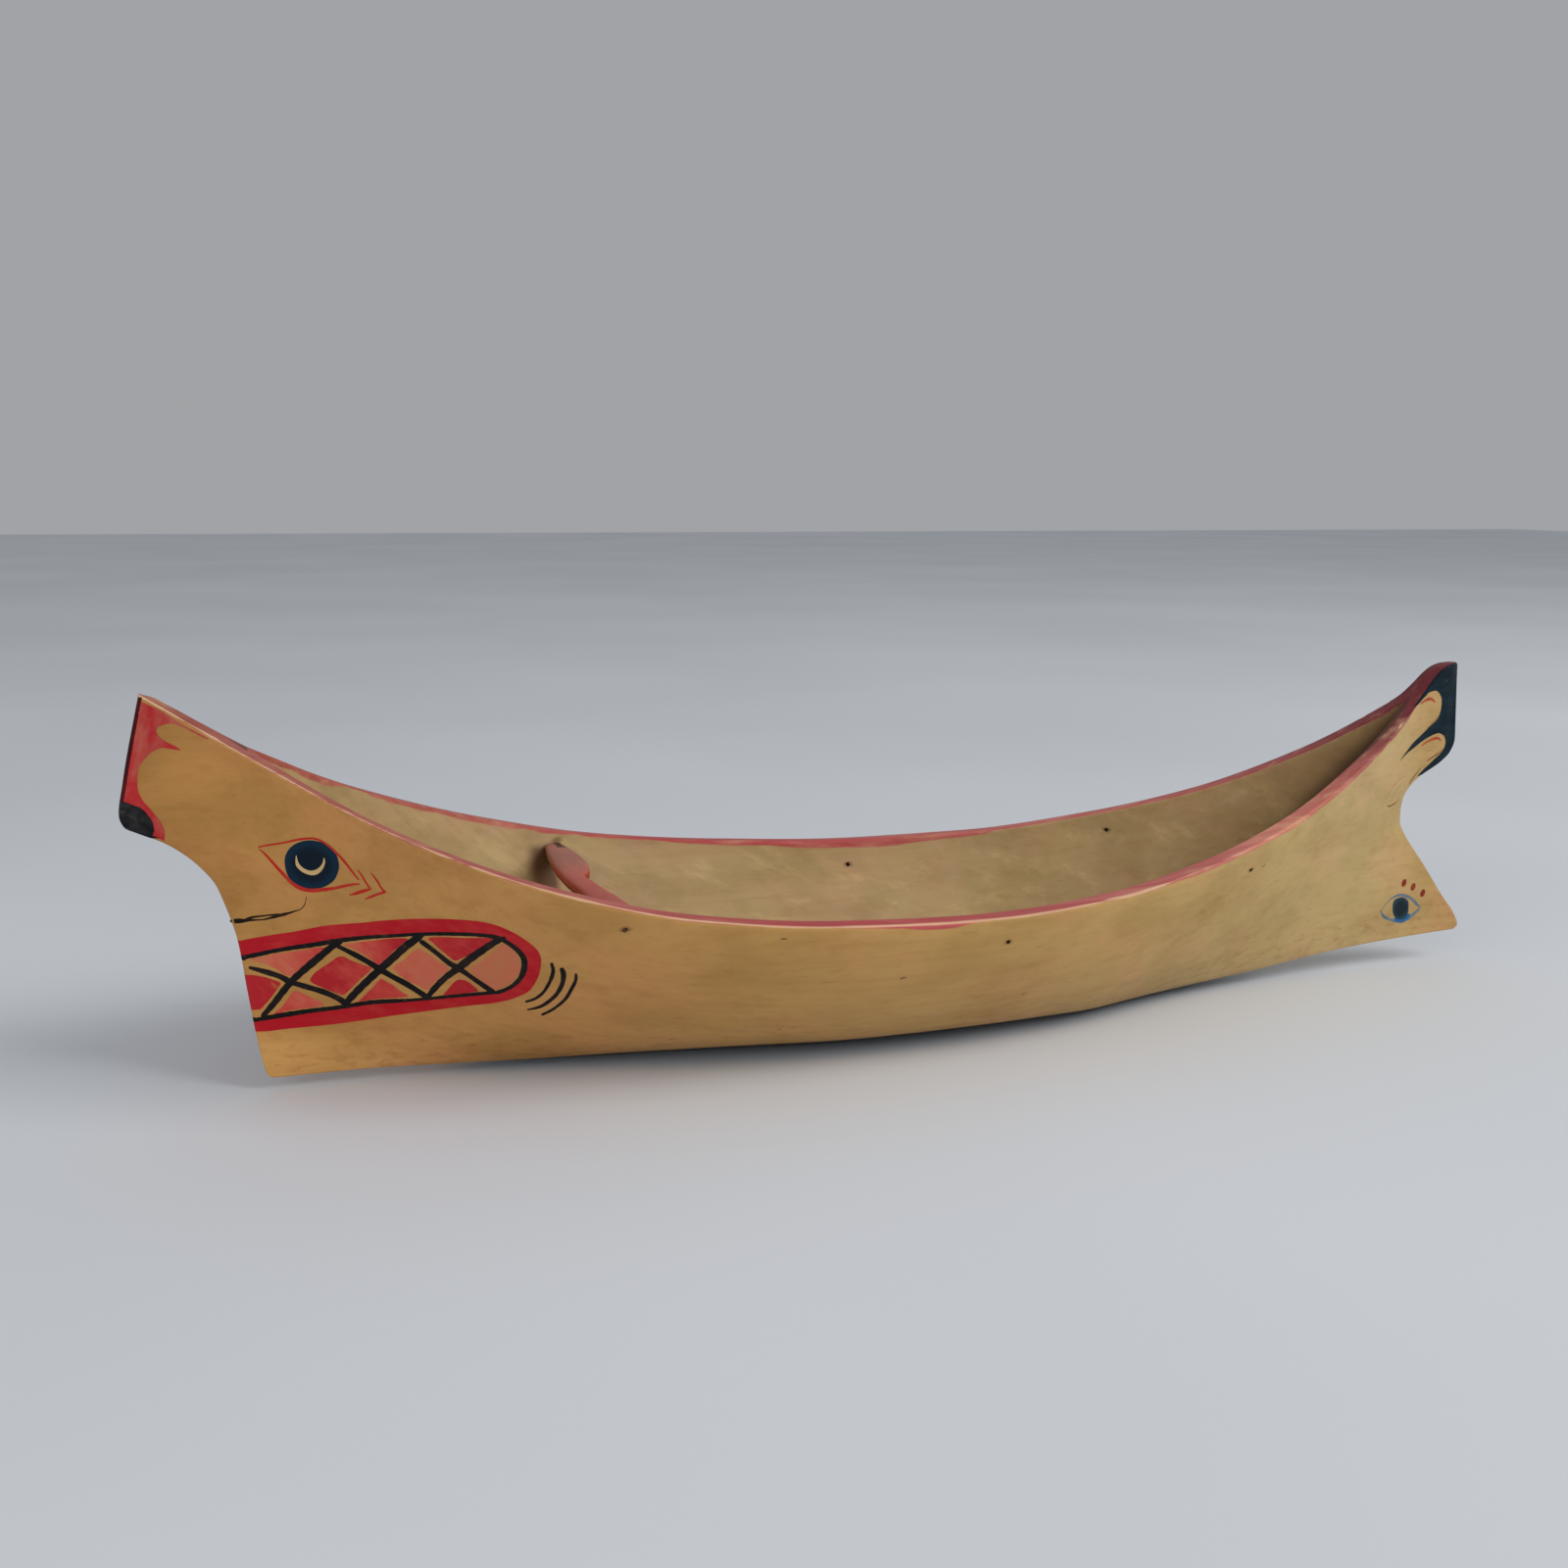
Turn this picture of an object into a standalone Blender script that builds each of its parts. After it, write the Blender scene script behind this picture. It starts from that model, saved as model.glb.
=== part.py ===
# A small carved wooden model of a dugout canoe, with one thwart left of three.
# Lengths are in millimetres here and become metres when a mesh is made.
# X runs along the canoe from the bow (low X) to the stern, Y is across it, Z is up.
# The origin is under the middle of its length, on the surface that it stands on.

import bpy
import bmesh
import math
import numpy as np
from mathutils import Matrix, Vector

MM = 0.001

# Overall shape of the dugout, read along its centre plane.
BOW_TOE = (-189.8, 3.8)
BOW_TIP = (-217.4, 112.9)
STERN_TOE = (222.4, 10.8)
STERN_TIP = (214.0, 108.3)

# Bow stem from its foot up: cutwater, throat, underside of the nose, nose, front edge.
BOW_STEM = [BOW_TOE, (-191.2, 8.5), (-194.3, 29.6), (-196.1, 44.0), (-197.8, 50.8), (-199.3, 55.6),
            (-200.9, 60.0), (-204.7, 65.4), (-208.9, 69.5), (-213.5, 72.8), (-219.5, 75.7), (-223.0, 77.6),
            (-224.1, 80.8), (-222.7, 89.4), BOW_TIP]

# Stern stem from its foot up: lower fin, throat, underside of the tail, tail edge.
STERN_STEM = [STERN_TOE, (223.9, 12.4), (221.4, 17.5), (216.5, 23.2), (206.4, 36.2), (201.6, 41.9),
              (196.7, 48.2), (194.4, 52.5), (194.2, 56.6), (194.9, 61.3), (197.3, 64.9), (200.6, 67.8),
              (210.4, 73.3), (214.2, 76.6), (215.8, 81.0), (215.4, 88.0), STERN_TIP]

# Height of the gunwale and of the bottom, and half breadth at the gunwale, at places along X.
SHEER = [BOW_TIP, (-190.0, 95.6), (-159.0, 78.8), (-120.0, 64.0), (-82.0, 54.8), (-40.0, 49.8),
         (10.0, 47.4), (50.0, 48.6), (90.0, 53.8), (127.0, 62.3), (165.0, 77.6), (190.0, 92.3),
         (196.0, 96.7), (201.0, 101.6), (204.0, 104.6), (207.0, 106.7), (210.0, 107.8), STERN_TIP]
FLAT_FROM = -25.0
FLAT_TO = 55.0
BOTTOM = [BOW_TOE, (-165.0, 4.0), (-140.0, 3.2), (-113.0, 2.2), (-80.0, 1.4), (-50.0, 0.6), (FLAT_FROM, 0.0),
          (FLAT_TO, 0.0), (80.0, 0.9), (105.0, 2.4), (134.0, 4.6), (167.0, 8.0), (196.0, 9.8), STERN_TOE]
BREADTH = [(BOW_TIP[0], 2.2), (-213.0, 3.6), (-205.0, 5.2), (-200.0, 6.6), (-195.0, 8.6), (-190.0, 11.2),
           (-178.0, 18.6), (-159.0, 32.2), (-140.0, 43.2), (-120.0, 51.4), (-100.0, 56.3), (-78.0, 59.2),
           (-50.0, 60.4), (-15.0, 59.0), (20.0, 56.8), (50.0, 51.8), (90.0, 42.5), (128.0, 31.0),
           (165.0, 17.8), (190.0, 8.3), (196.0, 5.8), (201.0, 4.6), (210.0, 3.5), (STERN_TIP[0], 1.9)]

# Half width of the flat along the very bottom, which thins to the stems.
FLAT_HALF = 9.0
SOLE = [(BOW_TOE[0], 1.4), (-170.0, 2.4), (-113.0, 5.4), (-60.0, 8.0), (FLAT_FROM, FLAT_HALF),
        (FLAT_TO, FLAT_HALF), (96.0, 6.6), (140.0, 4.2), (190.0, 2.2), (STERN_TOE[0], 1.3)]

# A section rises from the sole as 1 - (1 - height) ** FLARE, all raised to 1 / FULLNESS.
FLARE = [(-218.0, 0.84), (-160.0, 0.96), (-100.0, 1.22), (-40.0, 1.40), (60.0, 1.40), (120.0, 1.20),
         (165.0, 1.02), (226.0, 0.90)]
FULLNESS = [(-218.0, 1.05), (-160.0, 1.12), (-113.0, 1.36), (-60.0, 1.62), (0.0, 2.00), (50.0, 1.95),
            (90.0, 1.55), (134.0, 1.30), (170.0, 1.15), (226.0, 1.05)]

# The hollow. CROWN is how far the rim's inner edge, or the crest of the solid ends, stands above its
# outer edge. The wall is thicker at its foot by WALL_BELOW, except where the hollow is narrower than
# THIN_END each way. FLOOR_ROUND rounds the floor in.
RIM_WIDTH = 6.4
CROWN = [(BOW_TIP[0], 0.0), (-213.0, 1.2), (-194.0, 1.3), (-178.0, 0.8), (-155.0, 0.4), (200.0, 0.4),
         (STERN_TIP[0], 0.0)]
WALL_BELOW = 0.8
THIN_END = 8.0
FLOOR_HALF = 3.0
FLOOR_SHARE = 0.4
FLOOR_ROUND = 0.45
ROUND_POWER = 6
CROWN_POWER = 4
BOTTOM_THICK = 7.0
HOLLOW_LEAST = 0.4
HOLLOW_FROM = -191.0
HOLLOW_TO = 199.0

# Where the grid of the hull starts and ends, and how fast a stem's outline fades into it.
GRID_FROM = -206.0
GRID_TO = 217.0
STEM_FADE = 12.0

# Half thickness of both stems' edges, and the distance over which the sides are fined away to them.
# STEM_POWER is how late that ends on the way up to the gunwale, which keeps its own breadth.
STEM_HALF = 1.6
STEM_FINE = 6.0
STEM_POWER = 4

# Thwart: a flat board across the hull, scribed to its walls. Its edges are offsets from its own
# middle line at places across the hull, and the after edge has a notch near the middle.
THWART_X = -98.0
THWART_TOP = 54.6
THWART_THICK = 3.8
THWART_HALF = 5.0
THWART_FORE = [(-46.0, -4.2), (-36.0, -4.9), (-22.0, -4.5), (-12.0, -3.8), (-3.0, -4.3), (6.0, -5.0),
               (15.0, -5.4), (26.0, -5.0), (38.0, -4.2), (48.0, -2.8)]
THWART_AFT = [(-46.0, 3.0), (-38.0, 4.2), (-24.0, 3.2), (-14.0, 1.8), (-4.0, 0.8), (2.5, 0.0), (4.5, 0.2),
              (8.0, 2.2), (14.0, 4.0), (22.0, 5.0), (32.0, 4.8), (47.0, 3.0)]
THWART_GAP = 0.35

# Brads through the wall into the thwart's ends, and the holes that two lost thwarts left.
BRAD_FAR_X = -96.6
BRAD_NEAR_X = -100.6
BRAD_R = 0.55
BRAD_HEAD_R = 0.8
BRAD_HEAD_LONG = 0.5
BRAD_LONG = 13.0
BRAD_POINT = 1.2
BRAD_POINT_R = 0.15
BRAD_STEP = 0.1
BRAD_GAP = 0.3
BRAD_SUNK = 0.3
BRAD_SIDES = 12
HOLE_PAST = 4.0
EMPTY_HOLE_R = 0.6
EMPTY_HOLE_LONG = 16.0
EMPTY_HOLES = [(4.9, 1, 39.6), (11.7, -1, 39.6), (96.4, 1, 49.0), (108.0, -1, 49.0)]

# How fine the mesh is: sections along the hull, crowded towards both ends, rows up the wall of the
# hollow, crowded towards its floor, and the angle from which a fold stays sharp.
COLUMNS = 68
CROWDING = 0.115
INNER_ROWS = 8
INNER_CROWDING = 1.3
THWART_STEPS = 40
FOLD_ANGLE = 38.0

# Height shares of the outside's rows, which stand close together at the nose and the throats.
ROWS = [0.0, 0.02, 0.05, 0.1, 0.16, 0.23, 0.3, 0.37, 0.42, 0.465, 0.51, 0.55, 0.59, 0.62, 0.645, 0.67,
        0.69, 0.715, 0.76, 0.83, 0.91, 1.0]


def clear_scene():
    for old in list(bpy.data.objects):
        bpy.data.objects.remove(old, do_unlink=True)


def fair(points, at):
    """A curve through the points that never swings past them, read at the given places."""
    x, y = np.array(points, float).T
    step = np.diff(x)
    rise = np.diff(y) / step
    slope = np.zeros(len(x))
    for i in range(1, len(x) - 1):
        if rise[i - 1] * rise[i] > 0:
            before = 2 * step[i] + step[i - 1]
            after = step[i] + 2 * step[i - 1]
            slope[i] = (before + after) / (before / rise[i - 1] + after / rise[i])
    slope[0] = rise[0]
    slope[-1] = rise[-1]
    at = np.clip(np.asarray(at, float), x[0], x[-1])
    k = np.clip(np.searchsorted(x, at, side="right") - 1, 0, len(step) - 1)
    t = (at - x[k]) / step[k]
    start = (1 + 2 * t) * (1 - t) ** 2 * y[k] + t * (1 - t) ** 2 * step[k] * slope[k]
    end = t * t * (3 - 2 * t) * y[k + 1] + t * t * (t - 1) * step[k] * slope[k + 1]
    return start + end


def stem_at(stem, z):
    """Where a stem stands at a height."""
    return fair([(height, x) for x, height in stem], z)


def hull_x(along, up):
    """Where a point of the hull's grid stands, for 0 to 1 along from bow to stern and up from the sole."""
    bow_x = stem_at(BOW_STEM, BOW_TOE[1] + (BOW_TIP[1] - BOW_TOE[1]) * up)
    stern_x = stem_at(STERN_STEM, STERN_TOE[1] + (STERN_TIP[1] - STERN_TOE[1]) * up)
    x = GRID_FROM + (GRID_TO - GRID_FROM) * along
    x = x + (bow_x - GRID_FROM) * (1 - along) ** STEM_FADE
    return x + (stern_x - GRID_TO) * along ** STEM_FADE


def half_breadth(x, z):
    """Half breadth of the outside: an even flare from sole to gunwale, fined away to the stems."""
    low = fair(BOTTOM, x)
    up = np.clip((z - low) / (fair(SHEER, x) - low), 0.0, 1.0)
    sole = fair(SOLE, x)
    spread = (1 - (1 - up) ** fair(FLARE, x)) ** (1 / fair(FULLNESS, x))
    y = sole + (fair(BREADTH, x) - sole) * spread
    for away in (x - stem_at(BOW_STEM, z), stem_at(STERN_STEM, z) - x):
        y = y - (y - STEM_HALF) * np.exp(-np.maximum(away, 0.0) / STEM_FINE) * (1 - up ** STEM_POWER)
    return y


def hull_point(along, up):
    """A point of the outside on the +Y side."""
    x = hull_x(along, up)
    low = fair(BOTTOM, hull_x(along, 0.0))
    z = low + (fair(SHEER, hull_x(along, 1.0)) - low) * up
    return np.array([x, half_breadth(x, z), z], float)


def column_places(count):
    """Places from 0 to 1 that stand closer together near both ends."""
    even = np.linspace(0.0, 1.0, count + 1)
    return even - CROWDING * np.sin(2 * math.pi * even)


def hollow_half(along):
    """Half breadth of the hollow at the rim, which closes to nothing at both ends."""
    top_x = float(hull_x(along, 1.0))
    room = max(0.0, min(top_x - HOLLOW_FROM, HOLLOW_TO - top_x))
    half = min(float(fair(BREADTH, top_x)) - RIM_WIDTH, room)
    return half if half > HOLLOW_LEAST else 0.0


def hollow_line(along, rows):
    """Points of the hollow's wall on the +Y side, from the edge of its floor up to the rim."""
    half = hollow_half(along)
    rim = hull_point(along, 1.0)
    if half == 0.0:
        return [np.array([rim[0], 0.0, rim[2] + fair(CROWN, rim[0])])] * len(rows)
    narrowing = half / (rim[1] - RIM_WIDTH)
    floor_half = min(FLOOR_HALF, FLOOR_SHARE * half)
    extra = WALL_BELOW * min(1.0, half / THIN_END)
    low, high = 0.0, 1.0
    for _ in range(30):
        middle = (low + high) / 2
        here = hull_point(along, middle)
        thick = here[2] - hull_point(along, 0.0)[2]
        inner = (here[1] - RIM_WIDTH - extra) * narrowing
        if thick < BOTTOM_THICK or inner < floor_half:
            low = middle
        else:
            high = middle
    line = []
    for row in rows:
        here = hull_point(along, high + (1 - high) * row)
        half_here = (here[1] - RIM_WIDTH - extra * (1 - row)) * narrowing
        round_in = 1 - (1 - FLOOR_ROUND) * (1 - row) ** ROUND_POWER
        crown = fair(CROWN, rim[0]) * row ** CROWN_POWER
        line.append(np.array([here[0], half_here * round_in, here[2] + crown]))
    return line


def mesh_object(name, bm, material):
    bmesh.ops.recalc_face_normals(bm, faces=bm.faces)
    mesh = bpy.data.meshes.new(name)
    bm.to_mesh(mesh)
    bm.free()
    mesh.materials.append(material)
    mesh.shade_smooth()
    mesh.set_sharp_from_angle(angle=math.radians(FOLD_ANGLE))
    obj = bpy.data.objects.new(name, mesh)
    bpy.context.scene.collection.objects.link(obj)
    return obj


def finish_material(name, colour, roughness, metallic=0.0):
    material = bpy.data.materials.new(name)
    material.use_nodes = True
    shader = material.node_tree.nodes["Principled BSDF"]
    shader.inputs["Base Color"].default_value = (*colour, 1.0)
    shader.inputs["Roughness"].default_value = roughness
    shader.inputs["Metallic"].default_value = metallic
    return material


def skin(bm, grid):
    """Quads between the rows and columns of a grid of points in millimetres."""
    made = [[bm.verts.new(Vector(point) * MM) for point in line] for line in grid]
    for here, there in zip(made, made[1:]):
        for a, b, c, d in zip(here, here[1:], there[1:], there):
            bm.faces.new((a, b, c, d))


def mirrored(grid):
    return [[(x, -y, z) for x, y, z in line] for line in grid]


def build_hull(material):
    places = column_places(COLUMNS)
    outside = [[hull_point(a, row) for row in ROWS] for a in places]
    halves = [hollow_half(a) for a in places]
    first = min(i for i, half in enumerate(halves) if half > 0) - 1
    last = max(i for i, half in enumerate(halves) if half > 0) + 1
    rows = [(row / INNER_ROWS) ** INNER_CROWDING for row in range(INNER_ROWS + 1)]
    inside = [hollow_line(a, rows) for a in places[first:last + 1]]
    rim = []
    for half, line in zip(halves, outside):
        x, _, z = line[-1]
        rim.append([line[-1], (x, half, z + fair(CROWN, x))])
    bm = bmesh.new()
    for grid in (outside, inside, rim):
        skin(bm, grid)
        skin(bm, mirrored(grid))
    for edge in ([line[0] for line in outside], outside[0], outside[-1], [line[0] for line in inside]):
        skin(bm, [[(x, y, z), (x, 0.0, z), (x, -y, z)] for x, y, z in edge])
    bmesh.ops.remove_doubles(bm, verts=bm.verts, dist=0.02 * MM)
    bmesh.ops.dissolve_degenerate(bm, edges=bm.edges, dist=0.001 * MM)
    bmesh.ops.triangulate(bm, faces=bm.faces)
    return mesh_object("hull", bm, material)


def inner_half_breadth(x, z):
    return half_breadth(x, z) - RIM_WIDTH - WALL_BELOW


def build_thwart(material):
    """A flat board whose ends are scribed to the flare of the walls with a small gap."""
    bm = bmesh.new()
    layers = []
    for z in (THWART_TOP - THWART_THICK, THWART_TOP):
        corners = (THWART_X - THWART_HALF, THWART_X + THWART_HALF)
        reach = min(inner_half_breadth(x, z) for x in corners) - THWART_GAP
        places = [reach * (2 * step / THWART_STEPS - 1) for step in range(THWART_STEPS + 1)]
        fore = [(float(fair(THWART_FORE, y)), y) for y in places]
        aft = [(float(fair(THWART_AFT, y)), y) for y in places]
        outline = fore + aft[::-1]
        layers.append([bm.verts.new((x * MM, y * MM, (z - THWART_TOP) * MM)) for x, y in outline])
    low, high = layers
    count = len(low)
    for i in range(count):
        j = (i + 1) % count
        bm.faces.new((low[i], low[j], high[j], high[i]))
    for layer in (low, high):
        for i in range(count // 2 - 1):
            bm.faces.new((layer[i], layer[i + 1], layer[count - 2 - i], layer[count - 1 - i]))
    obj = mesh_object("thwart", bm, material)
    obj.location = (THWART_X * MM, 0.0, THWART_TOP * MM)
    bevel = obj.modifiers.new("worn edges", "BEVEL")
    bevel.width = 0.4 * MM
    bevel.segments = 1
    bevel.limit_method = "ANGLE"
    bevel.angle_limit = math.radians(50)
    return obj


def brad_place(side):
    """Middle of the brad's head on the outside of the wall, and its direction into the thwart."""
    z = THWART_TOP - THWART_THICK / 2
    x = BRAD_FAR_X if side > 0 else BRAD_NEAR_X
    inward = Vector((0.0, -side, 0.0))
    head = Vector((x, side * float(half_breadth(x, z)), z)) + inward * BRAD_SUNK
    return head, inward


def turned(bm, start, direction, stations):
    """A round bar along a direction: stations are distances along it with their radii."""
    frame = direction.to_track_quat("Z", "Y").to_matrix().to_4x4()
    frame = Matrix.Translation(start * MM) @ frame
    rings = []
    for far, radius in stations:
        ring = []
        for k in range(BRAD_SIDES):
            turn = 2 * math.pi * k / BRAD_SIDES
            local = Vector((radius * math.cos(turn), radius * math.sin(turn), far)) * MM
            ring.append(bm.verts.new(frame @ local))
        rings.append(ring)
    for lower, upper in zip(rings, rings[1:]):
        for k in range(BRAD_SIDES):
            n = (k + 1) % BRAD_SIDES
            bm.faces.new((lower[k], lower[n], upper[n], upper[k]))
    bm.faces.new(rings[0][::-1])
    bm.faces.new(rings[-1])


def build_brad(name, side, material):
    head, inward = brad_place(side)
    bm = bmesh.new()
    stations = [(0.0, BRAD_HEAD_R), (BRAD_HEAD_LONG, BRAD_HEAD_R), (BRAD_HEAD_LONG + BRAD_STEP, BRAD_R),
                (BRAD_LONG - BRAD_POINT, BRAD_R), (BRAD_LONG, BRAD_POINT_R)]
    turned(bm, head, inward, stations)
    return mesh_object(name, bm, material)


def cutter(name, start, direction, stations):
    bm = bmesh.new()
    turned(bm, start, direction, stations)
    obj = mesh_object(name, bm, bpy.data.materials["bare wood"])
    obj.hide_render = True
    obj.display_type = "WIRE"
    return obj


def cut(target, tool):
    modifier = target.modifiers.new(tool.name, "BOOLEAN")
    modifier.operation = "DIFFERENCE"
    modifier.object = tool
    modifier.solver = "EXACT"


def drill(hull, thwart):
    """Holes for the brads through both, and the empty holes of the lost thwarts."""
    for label, side in (("far", 1), ("near", -1)):
        head, inward = brad_place(side)
        wide = BRAD_HEAD_R + BRAD_GAP
        thin = BRAD_R + BRAD_GAP
        shoulder = BRAD_HEAD_LONG + BRAD_GAP
        end = BRAD_LONG + 2 * BRAD_GAP
        stations = [(-HOLE_PAST, wide), (shoulder, wide), (shoulder + BRAD_STEP, thin), (end, thin)]
        tool = cutter("brad_hole_" + label, head, inward, stations)
        cut(hull, tool)
        cut(thwart, tool)
    for number, (x, side, z) in enumerate(EMPTY_HOLES):
        start = Vector((x, side * (float(half_breadth(x, z)) + HOLE_PAST), z))
        stations = [(0.0, EMPTY_HOLE_R), (EMPTY_HOLE_LONG, EMPTY_HOLE_R)]
        cut(hull, cutter(f"empty_hole_{number}", start, Vector((0.0, -side, 0.0)), stations))


def build():
    clear_scene()
    bare = finish_material("bare wood", (0.50, 0.33, 0.15), 0.45)
    red = finish_material("red painted wood", (0.36, 0.06, 0.04), 0.5)
    iron = finish_material("dark iron", (0.06, 0.045, 0.035), 0.6, 0.7)
    hull = build_hull(bare)
    thwart = build_thwart(red)
    drill(hull, thwart)
    build_brad("thwart_brad_far", 1, iron)
    build_brad("thwart_brad_near", -1, iron)


build()
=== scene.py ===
# The look of a small carved and painted wooden model of a dugout canoe.
# Lengths are in millimetres in the script, and become metres when a mesh or a material is made.
# x runs from bow to stern, y to the far side and z up.

import math

import bmesh
import bpy
import numpy as np
from mathutils import Matrix, Vector
from mathutils.geometry import delaunay_2d_cdt


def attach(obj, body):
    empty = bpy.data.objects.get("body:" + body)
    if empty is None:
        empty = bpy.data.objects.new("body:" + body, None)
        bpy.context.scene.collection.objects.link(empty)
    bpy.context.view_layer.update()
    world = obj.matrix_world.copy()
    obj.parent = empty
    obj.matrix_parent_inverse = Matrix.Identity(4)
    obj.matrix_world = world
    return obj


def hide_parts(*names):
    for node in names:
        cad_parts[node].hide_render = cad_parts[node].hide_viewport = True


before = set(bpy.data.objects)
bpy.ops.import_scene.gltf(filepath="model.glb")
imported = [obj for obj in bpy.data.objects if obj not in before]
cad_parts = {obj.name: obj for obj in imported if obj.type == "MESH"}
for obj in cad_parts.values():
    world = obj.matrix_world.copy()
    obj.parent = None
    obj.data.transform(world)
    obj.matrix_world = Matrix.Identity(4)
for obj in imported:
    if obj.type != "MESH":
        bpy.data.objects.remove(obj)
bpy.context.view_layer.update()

# The dugout itself, carved with knife and gouge from one straight-grained billet of pale wood: a long
# overhanging prow, a notched stern, a flat rim and a hollow scooped to an even wall. Its outside is
# scraped smooth, oiled and browned by handling, and the hollow is rougher and greyer.

MM = 0.001
BOW_TOE = (-188.4, 3.8)
BOW_TIP = (-217.4, 112.9)
STERN_TOE = (222.4, 10.8)
STERN_TIP = (214.0, 108.3)
# The side view, as x and z: each stem from its toe to its tip, the gunwale and the bottom.
BOW_STEM = [
    BOW_TOE, (-189.4, 4.1), (-190.1, 4.9), (-190.6, 6.2), (-191.2, 8.5), (-194.3, 29.6), (-196.1, 44.0),
    (-197.8, 50.8), (-199.3, 55.6), (-200.9, 60.0), (-204.7, 65.4), (-208.9, 69.5), (-213.5, 72.8),
    (-219.5, 75.7), (-223.0, 77.6), (-224.1, 80.8), (-222.7, 89.4), BOW_TIP]
STERN_STEM = [
    STERN_TOE, (223.9, 12.4), (221.4, 17.5), (216.5, 23.2), (206.4, 36.2), (201.6, 41.9), (196.7, 48.2),
    (194.4, 52.5), (194.2, 56.6), (194.9, 61.3), (197.3, 64.9), (200.6, 67.8), (210.4, 73.3), (214.2, 76.6),
    (215.8, 81.0), (215.4, 88.0), STERN_TIP]
SHEER = [
    BOW_TIP, (-190.0, 95.6), (-159.0, 78.8), (-120.0, 64.0), (-82.0, 54.8), (-40.0, 49.8), (10.0, 47.4),
    (50.0, 48.6), (90.0, 53.8), (127.0, 62.3), (165.0, 77.6), (190.0, 92.3), (196.0, 96.7), (201.0, 101.6),
    (204.0, 104.6), (207.0, 106.7), (210.0, 107.8), STERN_TIP]
BOTTOM = [
    BOW_TOE, (-165.0, 4.0), (-140.0, 3.2), (-113.0, 2.2), (-80.0, 1.4), (-50.0, 0.6), (-25.0, 0.0),
    (55.0, 0.0), (80.0, 0.9), (105.0, 2.4), (134.0, 4.6), (167.0, 8.0), (196.0, 9.8), STERN_TOE]
# At places along the hull: half the breadth at the gunwale and at the sole, and two powers that shape the
# side between them. The crown is how far the rim rises inward from its outer edge.
BREADTH = [
    (BOW_TIP[0], 2.2), (-213.0, 3.6), (-205.0, 5.2), (-200.0, 6.6), (-195.0, 8.6), (-190.0, 11.2),
    (-178.0, 18.6), (-159.0, 32.2), (-140.0, 43.2), (-120.0, 51.4), (-100.0, 56.3), (-78.0, 59.2),
    (-50.0, 60.4), (-15.0, 59.0), (20.0, 56.8), (50.0, 51.8), (90.0, 42.5), (128.0, 31.0), (165.0, 17.8),
    (190.0, 8.3), (196.0, 5.8), (201.0, 4.6), (210.0, 3.5), (STERN_TIP[0], 1.9)]
SOLE = [
    (BOW_TOE[0], 1.4), (-170.0, 2.4), (-113.0, 5.4), (-60.0, 8.0), (-25.0, 9.0), (55.0, 9.0), (96.0, 6.6),
    (140.0, 4.2), (190.0, 2.2), (STERN_TOE[0], 1.3)]
FLARE = [
    (-218.0, 0.84), (-160.0, 0.96), (-100.0, 1.22), (-40.0, 1.40), (60.0, 1.40), (120.0, 1.20),
    (165.0, 1.02), (226.0, 0.90)]
FULLNESS = [
    (-218.0, 1.05), (-160.0, 1.12), (-113.0, 1.36), (-60.0, 1.62), (0.0, 2.00), (50.0, 1.95), (90.0, 1.55),
    (134.0, 1.30), (170.0, 1.15), (226.0, 1.05)]
CROWN = [
    (BOW_TIP[0], 0.0), (-213.0, 1.2), (-194.0, 1.3), (-178.0, 0.8), (-155.0, 0.4), (200.0, 0.4),
    (STERN_TIP[0], 0.0)]
GRID_FROM = -206.0
GRID_TO = 217.0
STEM_FADE = 12.0
STEM_HALF = 1.6
STEM_FINE = 6.0
STEM_EASE = 0.7
RIM_EASE = 1.0
FOOT_EASE = 0.5
KNIFE_MARK = 0.07
FINE_MARK = 0.05
MARKS_FADE = 8.0
RIM_WIDTH = 6.4
LIP_ROUND = 1.1
LIP_POINTS = 6
WALL_BELOW = 0.8
FLOOR_HALF = 3.0
FLOOR_SHARE = 0.4
FLOOR_ROUND = 0.45
BOTTOM_THICK = 7.0
HOLLOW_FROM = -191.0
HOLLOW_TO = 199.0
LEAST_HOLLOW = 0.4
NARROW_HOLLOW = 8.0
HALVINGS = 24
COLUMNS = 300
ENDS_CROWDED = 0.115
END_COLUMNS = [0.0, 0.0002, 0.0006, 0.0013]
FOOT_ROWS = [0.0, 0.06, 0.2, 0.5]
SIDE_ROWS = 86
SIDE_CROWDED = 1.3
EDGE_ROWS = [1.1, 0.6, 0.3, 0.1, 0.0]
WALL_ROWS = 44
WALL_CROWDED = 0.8
RIM_SHARES = (0.2, 0.4, 0.6, 0.8)
MERGE = 0.004
# Each nail hole has its x, its side, its height and its radius.
NAIL_HOLES = [
    (4.9, 1, 39.6, 0.6), (11.7, -1, 39.6, 0.6), (96.4, 1, 49.0, 0.6), (108.0, -1, 49.0, 0.6),
    (-96.6, 1, 52.7, 0.7), (-100.6, -1, 52.7, 0.6)]
DRILL_IN = 13.0
DRILL_OUT = 4.0
DRILL_SIDES = 14


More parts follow.
